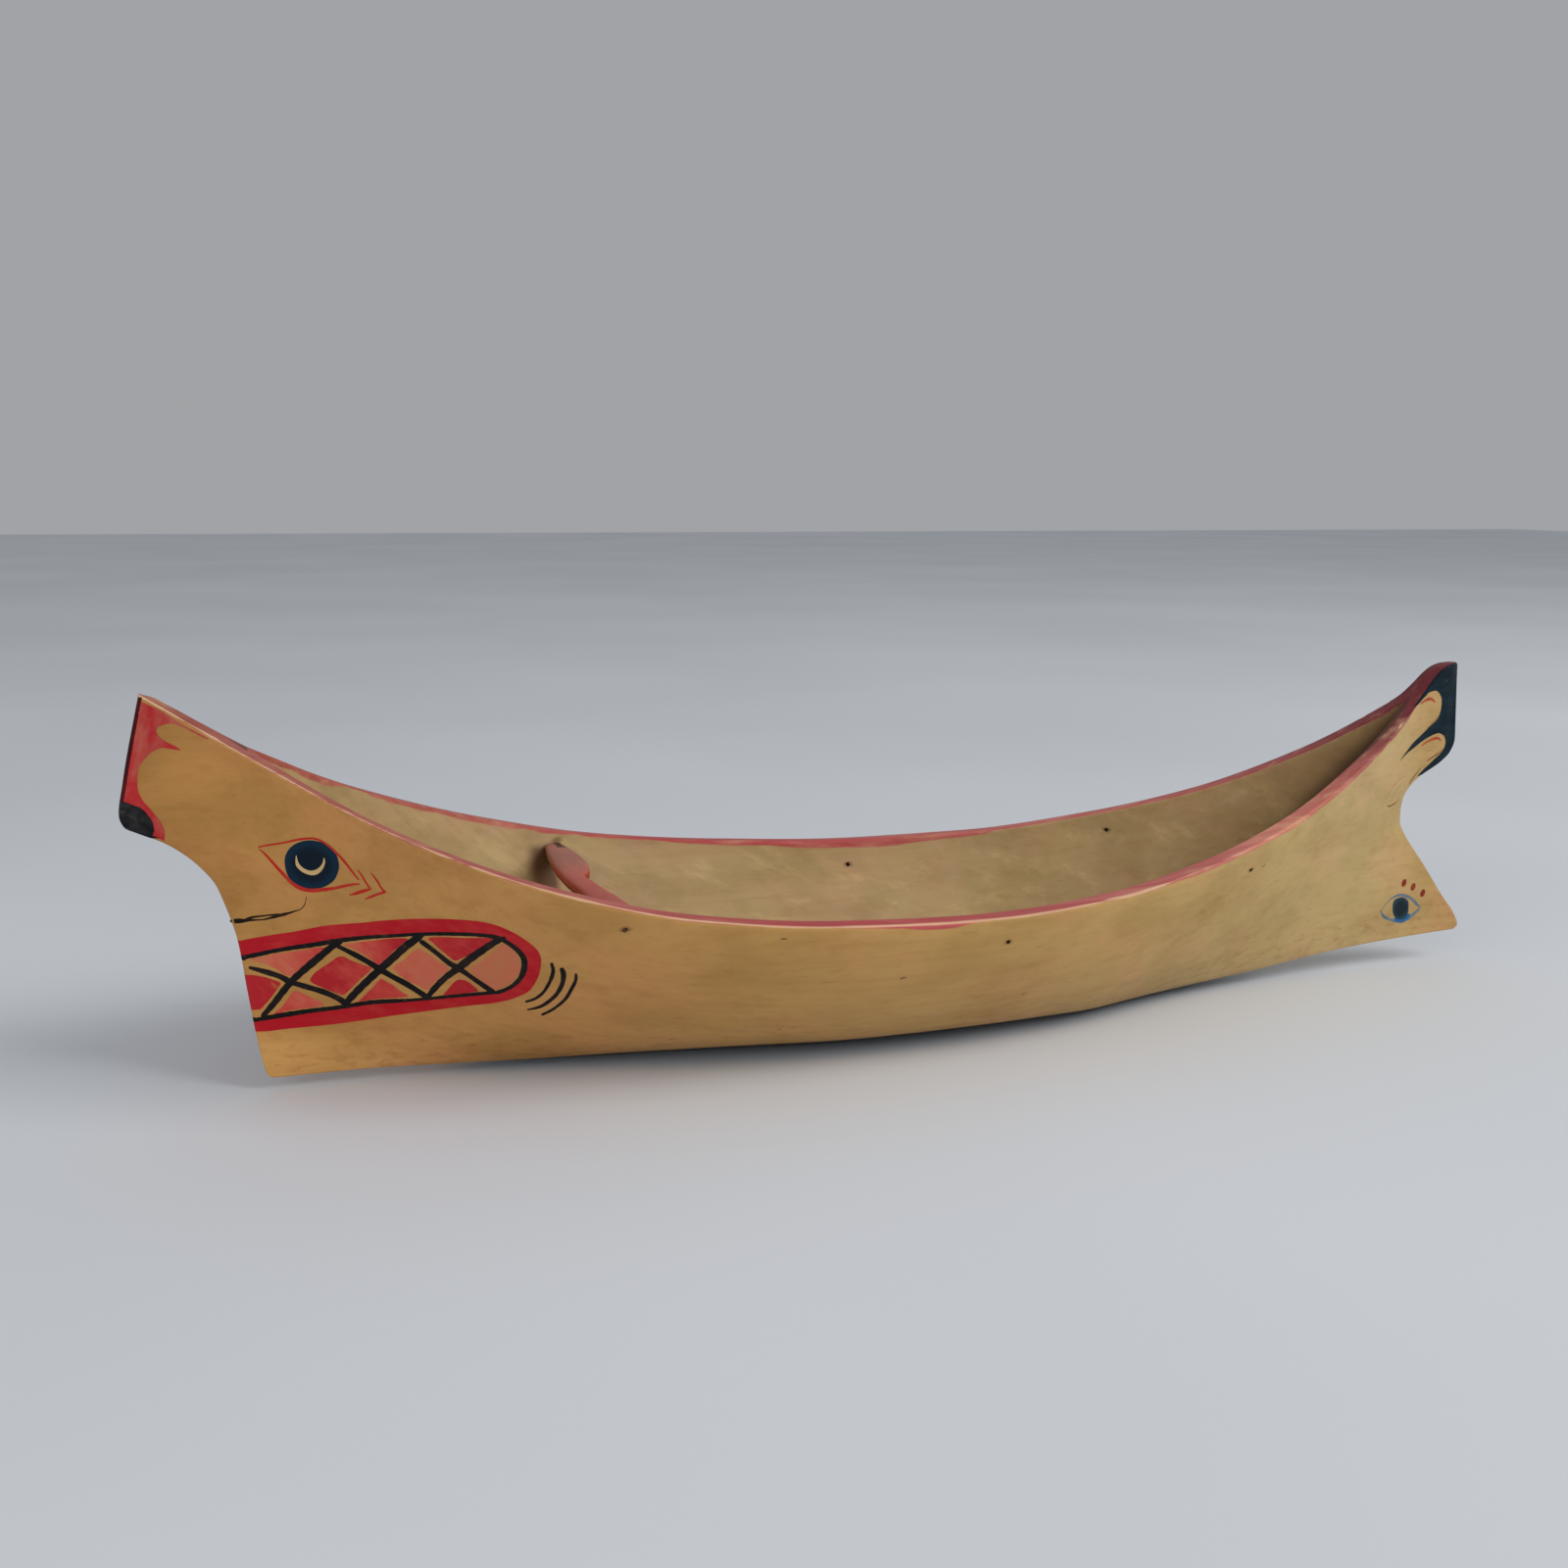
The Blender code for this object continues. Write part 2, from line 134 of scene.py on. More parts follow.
def fair(points, at):
    """A curve through the points that never swings past them, read at the given places."""
    x, y = np.array(points, float).T
    step = np.diff(x)
    rise = np.diff(y) / step
    slope = np.zeros(len(x))
    for i in range(1, len(x) - 1):
        if rise[i - 1] * rise[i] > 0:
            before = 2 * step[i] + step[i - 1]
            after = step[i] + 2 * step[i - 1]
            slope[i] = (before + after) / (before / rise[i - 1] + after / rise[i])
    slope[0] = rise[0]
    slope[-1] = rise[-1]
    at = np.clip(np.asarray(at, float), x[0], x[-1])
    k = np.clip(np.searchsorted(x, at, side="right") - 1, 0, len(step) - 1)
    t = (at - x[k]) / step[k]
    start = (1 + 2 * t) * (1 - t) ** 2 * y[k] + t * (1 - t) ** 2 * step[k] * slope[k]
    end = t * t * (3 - 2 * t) * y[k + 1] + t * t * (t - 1) * step[k] * slope[k + 1]
    return start + end


def stem_at(stem, z):
    return fair([(height, x) for x, height in stem], z)


def stem_lean(stem, z):
    near = 0.3
    return (stem_at(stem, z + near) - stem_at(stem, z - near)) / (2 * near)


def hull_x(along, up):
    x = GRID_FROM + (GRID_TO - GRID_FROM) * along
    for stem, edge, fade in ((BOW_STEM, GRID_FROM, 1 - along), (STERN_STEM, GRID_TO, along)):
        foot, tip = stem[0][1], stem[-1][1]
        x = x + (stem_at(stem, foot + (tip - foot) * up) - edge) * fade ** STEM_FADE
    return x


def half_breadth(x, z):
    """Half breadth of the outside: an even flare from the sole to the gunwale, fined away to the stems."""
    low = fair(BOTTOM, x)
    up = np.clip((z - low) / (fair(SHEER, x) - low), 0.0, 1.0)
    sole = fair(SOLE, x)
    spread = (1 - (1 - up) ** fair(FLARE, x)) ** (1 / fair(FULLNESS, x))
    y = sole + (fair(BREADTH, x) - sole) * spread
    for away in (x - stem_at(BOW_STEM, z), stem_at(STERN_STEM, z) - x):
        y = y - (y - STEM_HALF) * np.exp(-np.maximum(away, 0.0) / STEM_FINE) * (1 - up ** 4)
    return y


def skin_y(x, z):
    """Half breadth of the finished outside, with its faint knife marks and its edges eased by hand."""
    rise = z - fair(BOTTOM, x)
    fall = fair(SHEER, x) - z
    bow = (x - stem_at(BOW_STEM, z)) / np.hypot(1, stem_lean(BOW_STEM, z))
    stern = (stem_at(STERN_STEM, z) - x) / np.hypot(1, stem_lean(STERN_STEM, z))
    inland = np.minimum(np.minimum(rise, fall), np.minimum(bow, stern))
    # Two crossed waves with lengths that have no common measure, so that the marks never repeat.
    marks = KNIFE_MARK * np.sin(x / 9.3 + 1.3 * np.sin(z / 11.0)) * np.sin(z / 7.1 + x / 31.0)
    marks = marks + FINE_MARK * np.sin(x / 17.0 - z / 5.2 + 0.8)
    y = half_breadth(x, z) + marks * np.clip(inland / MARKS_FADE, 0.0, 1.0)
    for gap, ease in ((bow, STEM_EASE), (stern, STEM_EASE), (fall, RIM_EASE), (rise, FOOT_EASE)):
        short = np.clip(1 - gap / ease, 0.0, 1.0)
        y = y - ease * (1 - np.sqrt(1 - short ** 2))
    return y


def column_places():
    """Places along the hull, crowded towards its two ends."""
    even = np.linspace(0.0, 1.0, COLUMNS + 1)
    even = even - ENDS_CROWDED * np.sin(2 * math.pi * even)
    ends = np.array(END_COLUMNS)
    return np.concatenate([ends, even[2:-2], 1 - ends[::-1]])


def outside_rows(along):
    """Points of the outside on the +Y side: a row of columns, each from the foot up to the rim."""
    low = fair(BOTTOM, hull_x(along, 0.0))
    high = fair(SHEER, hull_x(along, 1.0))
    tall = (high - low)[:, None]
    foot = np.array(FOOT_ROWS) / tall
    edge = 1 - np.array(EDGE_ROWS) / tall
    share = (np.arange(1, SIDE_ROWS) / SIDE_ROWS) ** SIDE_CROWDED
    up = np.hstack([foot, foot[:, -1:] + (edge[:, :1] - foot[:, -1:]) * share, edge])
    x = hull_x(along[:, None], up)
    z = low[:, None] + tall * up
    return np.stack([x, skin_y(x, z), z], -1)


def hollow_rows(along):
    """Points up the hollow's wall on the +Y side, and which columns the hollow reaches."""
    rim_x = hull_x(along, 1.0)
    low = fair(BOTTOM, hull_x(along, 0.0))
    high = fair(SHEER, rim_x)
    rim_y = half_breadth(rim_x, high)
    room = np.clip(np.minimum(rim_x - HOLLOW_FROM, HOLLOW_TO - rim_x), 0.0, None)
    half = np.minimum(rim_y - RIM_WIDTH, room)
    open_here = half > LEAST_HOLLOW
    along, low, high, half, rim_y, rim_x = (v[open_here] for v in (along, low, high, half, rim_y, rim_x))
    narrowing = half / (rim_y - RIM_WIDTH)
    extra = WALL_BELOW * np.minimum(1.0, half / NARROW_HOLLOW)
    floor_half = np.minimum(FLOOR_HALF, FLOOR_SHARE * half)
    below, above = np.zeros(len(along)), np.ones(len(along))
    for _ in range(HALVINGS):
        middle = (below + above) / 2
        x = hull_x(along, middle)
        z = low + (high - low) * middle
        inner = (half_breadth(x, z) - RIM_WIDTH - extra) * narrowing
        solid = (z - low < BOTTOM_THICK) | (inner < floor_half)
        below = np.where(solid, middle, below)
        above = np.where(solid, above, middle)
    rows = np.linspace(0.0, 1.0, WALL_ROWS) ** WALL_CROWDED
    up = above[:, None] + (1 - above)[:, None] * rows
    x = hull_x(along[:, None], up)
    z = low[:, None] + (high - low)[:, None] * up
    y = (half_breadth(x, z) - RIM_WIDTH - extra[:, None] * (1 - rows)) * narrowing[:, None]
    y = y * (1 - (1 - FLOOR_ROUND) * (1 - rows) ** 6)
    z = z + fair(CROWN, rim_x)[:, None] * rows ** 4
    return np.stack([x, y, z], -1), open_here


def eased(before, corner, after, size, steps):
    """Points that round a corner off, from a little before it to a little after it."""
    into = before - corner
    out_of = after - corner
    into_long = np.linalg.norm(into, axis=-1, keepdims=True)
    out_long = np.linalg.norm(out_of, axis=-1, keepdims=True)
    start = corner + into * np.minimum(size / into_long, 0.45)
    end = corner + out_of * np.minimum(size / out_long, 0.9)
    return [(1 - t) ** 2 * start + 2 * t * (1 - t) * corner + t * t * end for t in np.linspace(0, 1, steps)]


def mesh_of(name, points, faces):
    mesh = bpy.data.meshes.new(name)
    mesh.from_pydata((np.asarray(points) * MM).tolist(), [], faces)
    return mesh


def faced_outward(mesh, merge=0.0):
    """Turns all faces outward. With a merge, points that lie nearer than that are joined first."""
    bm = bmesh.new()
    bm.from_mesh(mesh)
    if merge:
        bmesh.ops.remove_doubles(bm, verts=bm.verts, dist=merge * MM)
        bmesh.ops.dissolve_degenerate(bm, edges=bm.edges, dist=merge / 2 * MM)
    bmesh.ops.recalc_face_normals(bm, faces=bm.faces)
    bm.to_mesh(mesh)
    bm.free()


def in_scene(name, mesh, materials, smooth=True):
    for material in materials:
        mesh.materials.append(material)
    if smooth:
        mesh.shade_smooth()
    obj = bpy.data.objects.new(name, mesh)
    bpy.context.scene.collection.objects.link(obj)
    return obj


def carved_hull(materials):
    """Columns of points up the outside, across the rim and down the hollow, and the same mirrored."""
    along = column_places()
    outside = outside_rows(along)
    wall, open_here = hollow_rows(along)
    rim = outside[:, -1]
    crest = rim * (1, 0, 1) + np.stack([0 * along, 0 * along, fair(CROWN, rim[:, 0])], -1)
    inner = np.repeat(crest[:, None], WALL_ROWS + LIP_POINTS - 1, 1)
    lip = eased(rim[open_here], wall[:, -1], wall[:, -3], LIP_ROUND, LIP_POINTS)
    inner[open_here, :LIP_POINTS] = np.stack(lip, 1)
    inner[open_here, LIP_POINTS:-1] = wall[:, -3::-1]
    inner[open_here, -1] = wall[:, 0] * (1, 0, 1)
    top = np.stack([rim + (inner[:, 0] - rim) * share for share in RIM_SHARES], 1)
    foot = outside[:, :1] * (1, 0, 1)
    half = np.concatenate([foot, outside, top, inner], 1)
    columns, rows = half.shape[:2]
    both = np.concatenate([half.reshape(-1, 3), half.reshape(-1, 3) * (1, -1, 1)])
    c, r = np.meshgrid(np.arange(columns - 1), np.arange(rows - 1), indexing="ij")
    first = (c * rows + r).ravel()
    quads = np.stack([first, first + 1, first + rows + 1, first + rows], 1)
    slots = (r.ravel() > outside.shape[1] + len(RIM_SHARES) + 1).astype(int)
    ends = []
    for column in (0, columns - 1):
        up = column * rows + np.arange(rows - 1)
        ends.append(np.stack([up, up + 1, up + 1 + columns * rows, up + columns * rows], 1))
    faces = np.concatenate([quads, quads + columns * rows] + ends)
    mesh = mesh_of("dugout", both, faces.tolist())
    mesh.polygons.foreach_set("material_index", np.concatenate([slots, slots, np.zeros(2 * rows - 2, int)]))
    faced_outward(mesh, MERGE)
    return in_scene("dugout", mesh, materials)


def bar_at(bm, x, side, z, radius, start, end):
    """A round bar across the hull's side, from one half breadth to another."""
    turns = [2 * math.pi * k / DRILL_SIDES for k in range(DRILL_SIDES)]
    rings = []
    for y in (start, end):
        ring = [(x + radius * math.cos(t), side * y, z + radius * math.sin(t)) for t in turns]
        rings.append([bm.verts.new((px * MM, py * MM, pz * MM)) for px, py, pz in ring])
    for k in range(DRILL_SIDES):
        n = (k + 1) % DRILL_SIDES
        bm.faces.new((rings[0][k], rings[0][n], rings[1][n], rings[1][k]))
    bm.faces.new(rings[0][::-1])
    bm.faces.new(rings[1])


def drilled(hull, dark):
    """Cuts the nail holes through the walls, then takes the drill away."""
    bm = bmesh.new()
    for x, side, z, radius in NAIL_HOLES:
        wall = float(half_breadth(x, z))
        bar_at(bm, x, side, z, radius, wall - DRILL_IN, wall + DRILL_OUT)
    bmesh.ops.recalc_face_normals(bm, faces=bm.faces)
    mesh = bpy.data.meshes.new("drill")
    bm.to_mesh(mesh)
    bm.free()
    drill = in_scene("drill", mesh, [dark], smooth=False)
    hull.data.materials.append(dark)
    cut = hull.modifiers.new("nail holes", "BOOLEAN")
    cut.object = drill
    cut.operation = "DIFFERENCE"
    cut.solver = "EXACT"
    cut.material_mode = "TRANSFER"
    bpy.context.view_layer.update()
    finished = bpy.data.meshes.new_from_object(hull.evaluated_get(bpy.context.evaluated_depsgraph_get()))
    hull.modifiers.remove(cut)
    hull.data = finished
    bpy.data.objects.remove(drill)


# At places along the hull: how far the rim's red paint runs down over the outside and down into the hollow,
# how high the painted shade along the sole comes up, how far below the gunwale the painted shade in the
# hollow's stern end starts, how wide that shade lies on the near rim, and how pale the rim's outer edge is,
# partly from paint worn off and partly as a painted highlight.
RED_OUTSIDE = [
    (-216.0, 0.0), (-157.0, 0.3), (-98.0, 0.2), (-44.0, 0.3), (-28.0, 0.7), (-19.0, 1.6), (-9.0, 2.0),
    (-2.0, 1.0), (10.0, 0.2), (53.0, 0.2), (73.0, 0.6), (100.0, 1.0), (130.0, 1.5), (160.0, 1.6),
    (180.0, 1.2), (195.0, 0.2), (214.0, 0.0)]
RED_INSIDE = [
    (-216.0, 1.2), (-170.0, 1.2), (-160.0, 0.2), (-145.0, 0.9), (-104.0, 0.9), (-84.0, 0.6), (-50.0, 0.7),
    (-32.0, 1.0), (-10.0, 1.7), (3.0, 2.1), (20.0, 2.4), (31.0, 1.8), (50.0, 1.2), (62.0, -0.4),
    (90.0, -0.6), (150.0, -0.4), (175.0, 0.0), (190.0, 0.6), (214.0, 1.6)]
SOLE_PAINTED_SHADE = [
    (-190.0, -0.9), (-145.0, -0.3), (-120.0, 0.7), (-100.0, 2.2), (-80.0, 3.8), (-60.0, 4.9), (-20.0, 5.6),
    (20.0, 5.2), (40.0, 4.7), (60.0, 3.9), (80.0, 2.6), (100.0, 1.4), (120.0, 0.6), (150.0, -0.2),
    (222.0, -0.9)]
STERN_SHADE_BELOW = [
    (-216.0, 90.0), (70.0, 60.0), (105.0, 48.0), (130.0, 35.0), (150.0, 25.0), (170.0, 12.8), (185.0, 6.0),
    (199.0, 1.5)]
STERN_SHADE_LIP = [(140.0, -0.5), (165.0, 1.1), (185.0, 2.1), (197.0, 0.8), (201.0, -1.0)]
EDGE_WEAR_AND_HIGHLIGHT = [
    (-217.0, 0.9), (-196.0, 0.9), (-180.0, 0.7), (-157.0, 0.7), (-98.0, 0.95), (-60.0, 1.0), (-44.0, 0.9),
    (-19.0, 0.75), (4.0, 0.85), (14.0, 1.0), (53.0, 1.0), (73.0, 0.7), (100.0, 0.45), (130.0, 0.3),
    (167.0, 0.25), (181.5, 0.15), (184.0, 0.95), (186.5, 0.12), (214.0, 0.0)]
LIP_SLACK = 0.3
HALF_WALL = 3.0
RIM_CORNER = 0.35
WEAR_HIGHLIGHT_FROM = 0.6
WEAR_HIGHLIGHT_SQUASH = 0.8
WEAR_HIGHLIGHT_REACH = 0.42
RISE_KEPT = 20.0
LIP_SHADE_STEEP = 8.0
NO_PAINTED_SHADE = -9.0


def mark_rim(hull):
    """Writes five numbers on the hull's points that its materials read: how deep a point lies in the rim's
    paint, how worn and highlighted its edge is, its rise, and how far it lies in the painted shade along the
    sole and in the painted shade of the stern's hollow."""
    place = np.empty(len(hull.data.vertices) * 3)
    hull.data.vertices.foreach_get("co", place)
    x, y, z = place.reshape(-1, 3).T / MM
    near_side = y < 0
    y = np.abs(y)
    sheer = fair(SHEER, x)
    wide = half_breadth(x, sheer)
    inside = (y < wide - RIM_WIDTH + LIP_SLACK) & (x > HOLLOW_FROM) & (x < HOLLOW_TO)
    inside = inside & (y < half_breadth(x, z) - HALF_WALL)
    below = np.maximum(sheer - z, 0.0)
    on_side = below > RIM_CORNER
    outer = fair(RED_OUTSIDE, x) - below
    inner = fair(RED_INSIDE, x) - below
    depth = np.where(inside, inner, np.where(on_side, outer, np.maximum(outer, wide - y)))
    # The pale outer corner of the rim is partly worn paint and partly a painted highlight.
    from_edge = np.hypot(below, np.maximum(wide - RIM_EASE * WEAR_HIGHLIGHT_FROM - y, 0.0) * WEAR_HIGHLIGHT_SQUASH)
    wear_and_highlight = fair(EDGE_WEAR_AND_HIGHLIGHT, x) * np.exp(-(from_edge / WEAR_HIGHLIGHT_REACH) ** 2) * ~inside
    rise = np.minimum(z - fair(BOTTOM, x), RISE_KEPT)
    # Painted shade: the hollow's narrow stern end and the inner strip of the near rim there are darkened
    # where shade falls.
    from_lip = RIM_WIDTH - (wide - y)
    on_lip = np.where(near_side, LIP_SHADE_STEEP * (fair(STERN_SHADE_LIP, x) - from_lip), NO_PAINTED_SHADE)
    stern_shade = np.where(inside, below - fair(STERN_SHADE_BELOW, x), np.where(on_side, NO_PAINTED_SHADE, on_lip))
    for name, values in (("paint depth", depth), ("edge wear and highlight", wear_and_highlight), ("rise above the sole", rise),
                         ("painted shade of the sole", fair(SOLE_PAINTED_SHADE, x) - rise), ("painted shade of the stern", stern_shade)):
        note = hull.data.attributes.new(name, "FLOAT", "POINT")
        note.data.foreach_set("value", values.astype(np.float32))


def new_material(name, shine=0.2):
    material = bpy.data.materials.new(name)
    material.use_nodes = True
    tree = material.node_tree
    tree.nodes["Principled BSDF"].inputs["Specular IOR Level"].default_value = shine
    return material, tree, tree.nodes.new("ShaderNodeTexCoord").outputs["Object"]


def surfaced(material, colour, roughness, bumps=()):
    """Finishes a material. Each bump has its height, its strength and its depth in millimetres."""
    tree = material.node_tree
    shader = tree.nodes["Principled BSDF"]
    tree.links.new(colour, shader.inputs["Base Color"])
    if isinstance(roughness, float):
        shader.inputs["Roughness"].default_value = roughness
    else:
        tree.links.new(roughness, shader.inputs["Roughness"])
    below = None
    for height, strength, depth in bumps:
        node = tree.nodes.new("ShaderNodeBump")
        node.inputs["Strength"].default_value = strength
        node.inputs["Distance"].default_value = depth * MM
        tree.links.new(height, node.inputs["Height"])
        if below is not None:
            tree.links.new(below, node.inputs["Normal"])
        below = node.outputs["Normal"]
    if below is not None:
        tree.links.new(below, shader.inputs["Normal"])
    return material


# A noise that is stretched in no direction.
EVEN = (1.0, 1.0, 1.0)


def noise(tree, place, scale, stretch=EVEN, detail=4.0, rough=0.55, turn=0.0):
    """Cloudy noise on the object's own coordinates, turned across the canoe and then stretched."""
    mapping = tree.nodes.new("ShaderNodeMapping")
    mapping.vector_type = "TEXTURE"
    mapping.inputs["Scale"].default_value = [1 / share for share in stretch]
    mapping.inputs["Rotation"].default_value = (0.0, turn, 0.0)
    tree.links.new(place, mapping.inputs["Vector"])
    node = tree.nodes.new("ShaderNodeTexNoise")
    node.inputs["Scale"].default_value = scale
    node.inputs["Detail"].default_value = detail
    node.inputs["Roughness"].default_value = rough
    tree.links.new(mapping.outputs["Vector"], node.inputs["Vector"])
    return node.outputs["Fac"]


def ramp(tree, value, stops):
    """Colours along a value. Each stop is a place and a colour."""
    node = tree.nodes.new("ShaderNodeValToRGB")
    elements = node.color_ramp.elements
    while len(elements) < len(stops):
        elements.new(0.5)
    for element, (place, colour) in zip(elements, stops):
        element.position = place
        element.color = (*colour, 1.0)
    tree.links.new(value, node.inputs["Fac"])
    return node.outputs["Color"]


def socket_of(slots, identifier):
    return next(slot for slot in slots if slot.identifier == identifier)


def mixed(tree, share, first, second, kind="MIX"):
    node = tree.nodes.new("ShaderNodeMix")
    node.data_type = "RGBA"
    node.blend_type = kind
    for identifier, value in (("Factor_Float", share), ("A_Color", first), ("B_Color", second)):
        slot = socket_of(node.inputs, identifier)
        if isinstance(value, bpy.types.NodeSocket):
            tree.links.new(value, slot)
        else:
            slot.default_value = value if isinstance(value, float) else (*value, 1.0)
    return socket_of(node.outputs, "Result_Color")


def sums(tree, kind, *values):
    node = tree.nodes.new("ShaderNodeMath")
    node.operation = kind
    for slot, value in zip(node.inputs, values):
        if isinstance(value, bpy.types.NodeSocket):
            tree.links.new(value, slot)
        else:
            slot.default_value = value
    return node.outputs[0]


def between(tree, value, low, high, to_low=0.0, to_high=1.0):
    node = tree.nodes.new("ShaderNodeMapRange")
    node.interpolation_type = "SMOOTHSTEP"
    tree.links.new(value, node.inputs["Value"])
    for socket, number in zip(("From Min", "From Max", "To Min", "To Max"), (low, high, to_low, to_high)):
        node.inputs[socket].default_value = number
    return node.outputs["Result"]


def toned(tree, colour, cloud, low, high, share, tone, kind="MULTIPLY"):
    """A colour with a tone laid over it where a cloud is strong."""
    return mixed(tree, between(tree, cloud, low, high, 0.0, share), colour, tone, kind)


def axes(tree, place):
    """The x, y and z of a place."""
    node = tree.nodes.new("ShaderNodeSeparateXYZ")
    tree.links.new(place, node.inputs[0])
    return node.outputs


def distance(tree, first, second):
    """How far a point is away, from how far it is along two axes."""
    squares = [sums(tree, "MULTIPLY", side, side) for side in (first, second)]
    return sums(tree, "SQRT", sums(tree, "ADD", *squares))


def frayed(tree, number, cloud, spread):
    """A number that a cloud shifts up and down by up to half its spread."""
    return sums(tree, "MULTIPLY_ADD", cloud, spread, sums(tree, "SUBTRACT", number, spread / 2))


def patch(tree, place, edges, strength=1.0):
    """How strongly a soft-edged patch covers a point. Each edge has its axis, where it starts and where it
    is full."""
    at = dict(zip("xyz", axes(tree, place)))
    cover = None
    for axis, start, full in edges:
        inside = between(tree, at[axis], start * MM, full * MM)
        cover = inside if cover is None else sums(tree, "MULTIPLY", cover, inside)
    return sums(tree, "MULTIPLY", cover, strength)


# The length that the colours along the canoe are spread over.
TONES_LENGTH = 460.0


def along_canoe(tree, place, stops):
    """Colours along the canoe: each stop is a distance from its middle and a colour."""
    share = sums(tree, "MULTIPLY_ADD", axes(tree, place)[0], 1 / (TONES_LENGTH * MM), 0.5)
    return ramp(tree, share, [(x / TONES_LENGTH + 0.5, colour) for x, colour in stops])


def written(tree, name):
    """A number written on the piece's own mesh."""
    node = tree.nodes.new("ShaderNodeAttribute")
    node.attribute_name = name
    return node.outputs["Fac"]


# Along the outside the tone goes from a deep orange at the bow to paler and greyer at the stern: partly the
# wood's own colour, partly painted light and sheen on the side the light comes from.
OUTSIDE_TONES = [
    (-220.0, (0.42, 0.205, 0.052)), (-190.0, (0.53, 0.265, 0.071)), (-130.0, (0.54, 0.280, 0.082)),
    (-40.0, (0.53, 0.305, 0.098)), (60.0, (0.53, 0.335, 0.120)), (120.0, (0.54, 0.375, 0.145)),
    (175.0, (0.55, 0.395, 0.17)), (215.0, (0.51, 0.315, 0.115))]
# Inside, the tone grows darker from amidships to the stern end: painted shade in the narrowing hollow.
INSIDE_TONES = [
    (-190.0, (0.50, 0.34, 0.15)), (-60.0, (0.477, 0.330, 0.153)), (60.0, (0.468, 0.325, 0.148)),
    (140.0, (0.39, 0.255, 0.11)), (200.0, (0.28, 0.17, 0.07))]
RIM_TONES = [
    (-217.0, (0.27, 0.062, 0.040)), (-190.0, (0.37, 0.085, 0.058)), (-120.0, (0.42, 0.085, 0.066)),
    (-30.0, (0.44, 0.055, 0.058)), (30.0, (0.45, 0.085, 0.078)), (100.0, (0.48, 0.120, 0.100)),
    (150.0, (0.36, 0.075, 0.070)), (180.0, (0.20, 0.030, 0.034)), (214.0, (0.15, 0.014, 0.020))]
# Soft-edged patches: where the near rim's red has faded, the toe lightened as painted light thrown up from
# the table, and the painted shadow that the thwart casts on the far wall under it.
FADED_RIM = [("x", 85.0, 130.0), ("x", 192.0, 165.0), ("y", 2.0, -2.0)]
TOE_PAINTED_BOUNCE_LIGHT = [("z", 22.0, 12.0), ("x", -125.0, -165.0)]
THWART_PAINTED_SHADOW = [("x", -108.5, -103.5), ("x", -96.0, -99.0), ("z", 55.5, 52.5), ("z", 34.0, 43.0),
                ("y", 18.0, 28.0)]
# Where rust from the far brad has stained the hollow, given like a nail hole.
BRAD_MARK = (-96.3, 1, 55.0, 0.75)
STAIN_LONG = 1.7
STAIN_TALL = 1.05


def wood_colour(tree, place, tones):
    """Oiled wood: its tone along the canoe, soft olive and pinkish mottling, faint grain and dark pores."""
    colour = along_canoe(tree, place, tones)
    olive = noise(tree, place, 62.0, (0.55, 1.0, 1.0), 3.0, 0.5)
    pink = noise(tree, place, 44.0, (0.6, 1.0, 1.2), 2.0, 0.5, 0.4)
    grain = noise(tree, place, 420.0, (0.035, 1.0, 1.0), 4.0, 0.6)
    pores = noise(tree, place, 1100.0, (0.10, 1.0, 1.0), 2.0, 0.5)
    colour = toned(tree, colour, olive, 0.40, 0.66, 0.85, (0.85, 0.84, 0.77))
    colour = toned(tree, colour, pink, 0.42, 0.66, 0.6, (1.10, 0.97, 1.10))
    colour = toned(tree, colour, grain, 0.40, 0.72, 0.42, (0.84, 0.78, 0.70))
    return toned(tree, colour, pores, 0.62, 0.80, 0.5, (0.72, 0.62, 0.52)), grain


def rim_painted(tree, place, wood):
    """The rim's thin red over the wood: ragged at its edges, pale along the outer corner from wear and from a
    painted highlight, and darkened by painted shade in the hollow's stern end.
    """
    ragged = noise(tree, place, 160.0, (0.22, 1.0, 1.0), 5.0, 0.62)
    streaks = noise(tree, place, 300.0, (0.10, 1.0, 1.0), 3.0, 0.55)
    red = along_canoe(tree, place, RIM_TONES)
    red = toned(tree, red, streaks, 0.38, 0.70, 0.8, (1.22, 1.7, 1.6))
    red = toned(tree, red, ragged, 0.52, 0.75, 0.55, (0.62, 0.33, 0.20), "MIX")
    red = mixed(tree, patch(tree, place, FADED_RIM), red, (1.38, 1.75, 1.45), "MULTIPLY")
    reach = frayed(tree, written(tree, "paint depth"), ragged, 3.2)
    colour = mixed(tree, between(tree, reach, -0.35, 0.45), wood, red)
    # The pale outer corner: partly paint worn off and partly a painted highlight.
    rubbed = frayed(tree, written(tree, "edge wear and highlight"), streaks, 1.3)
    pale = mixed(tree, between(tree, ragged, 0.35, 0.65), (0.72, 0.42, 0.27), (0.76, 0.50, 0.30))
    colour = toned(tree, colour, rubbed, 0.28, 0.72, 0.85, pale, "MIX")
    # Painted shade over the hollow's narrow stern end and the near rim's inner strip there.
    stern_shade = written(tree, "painted shade of the stern")
    return toned(tree, colour, stern_shade, -7.0, 4.0, 0.84, (0.075, 0.030, 0.018), "MIX")


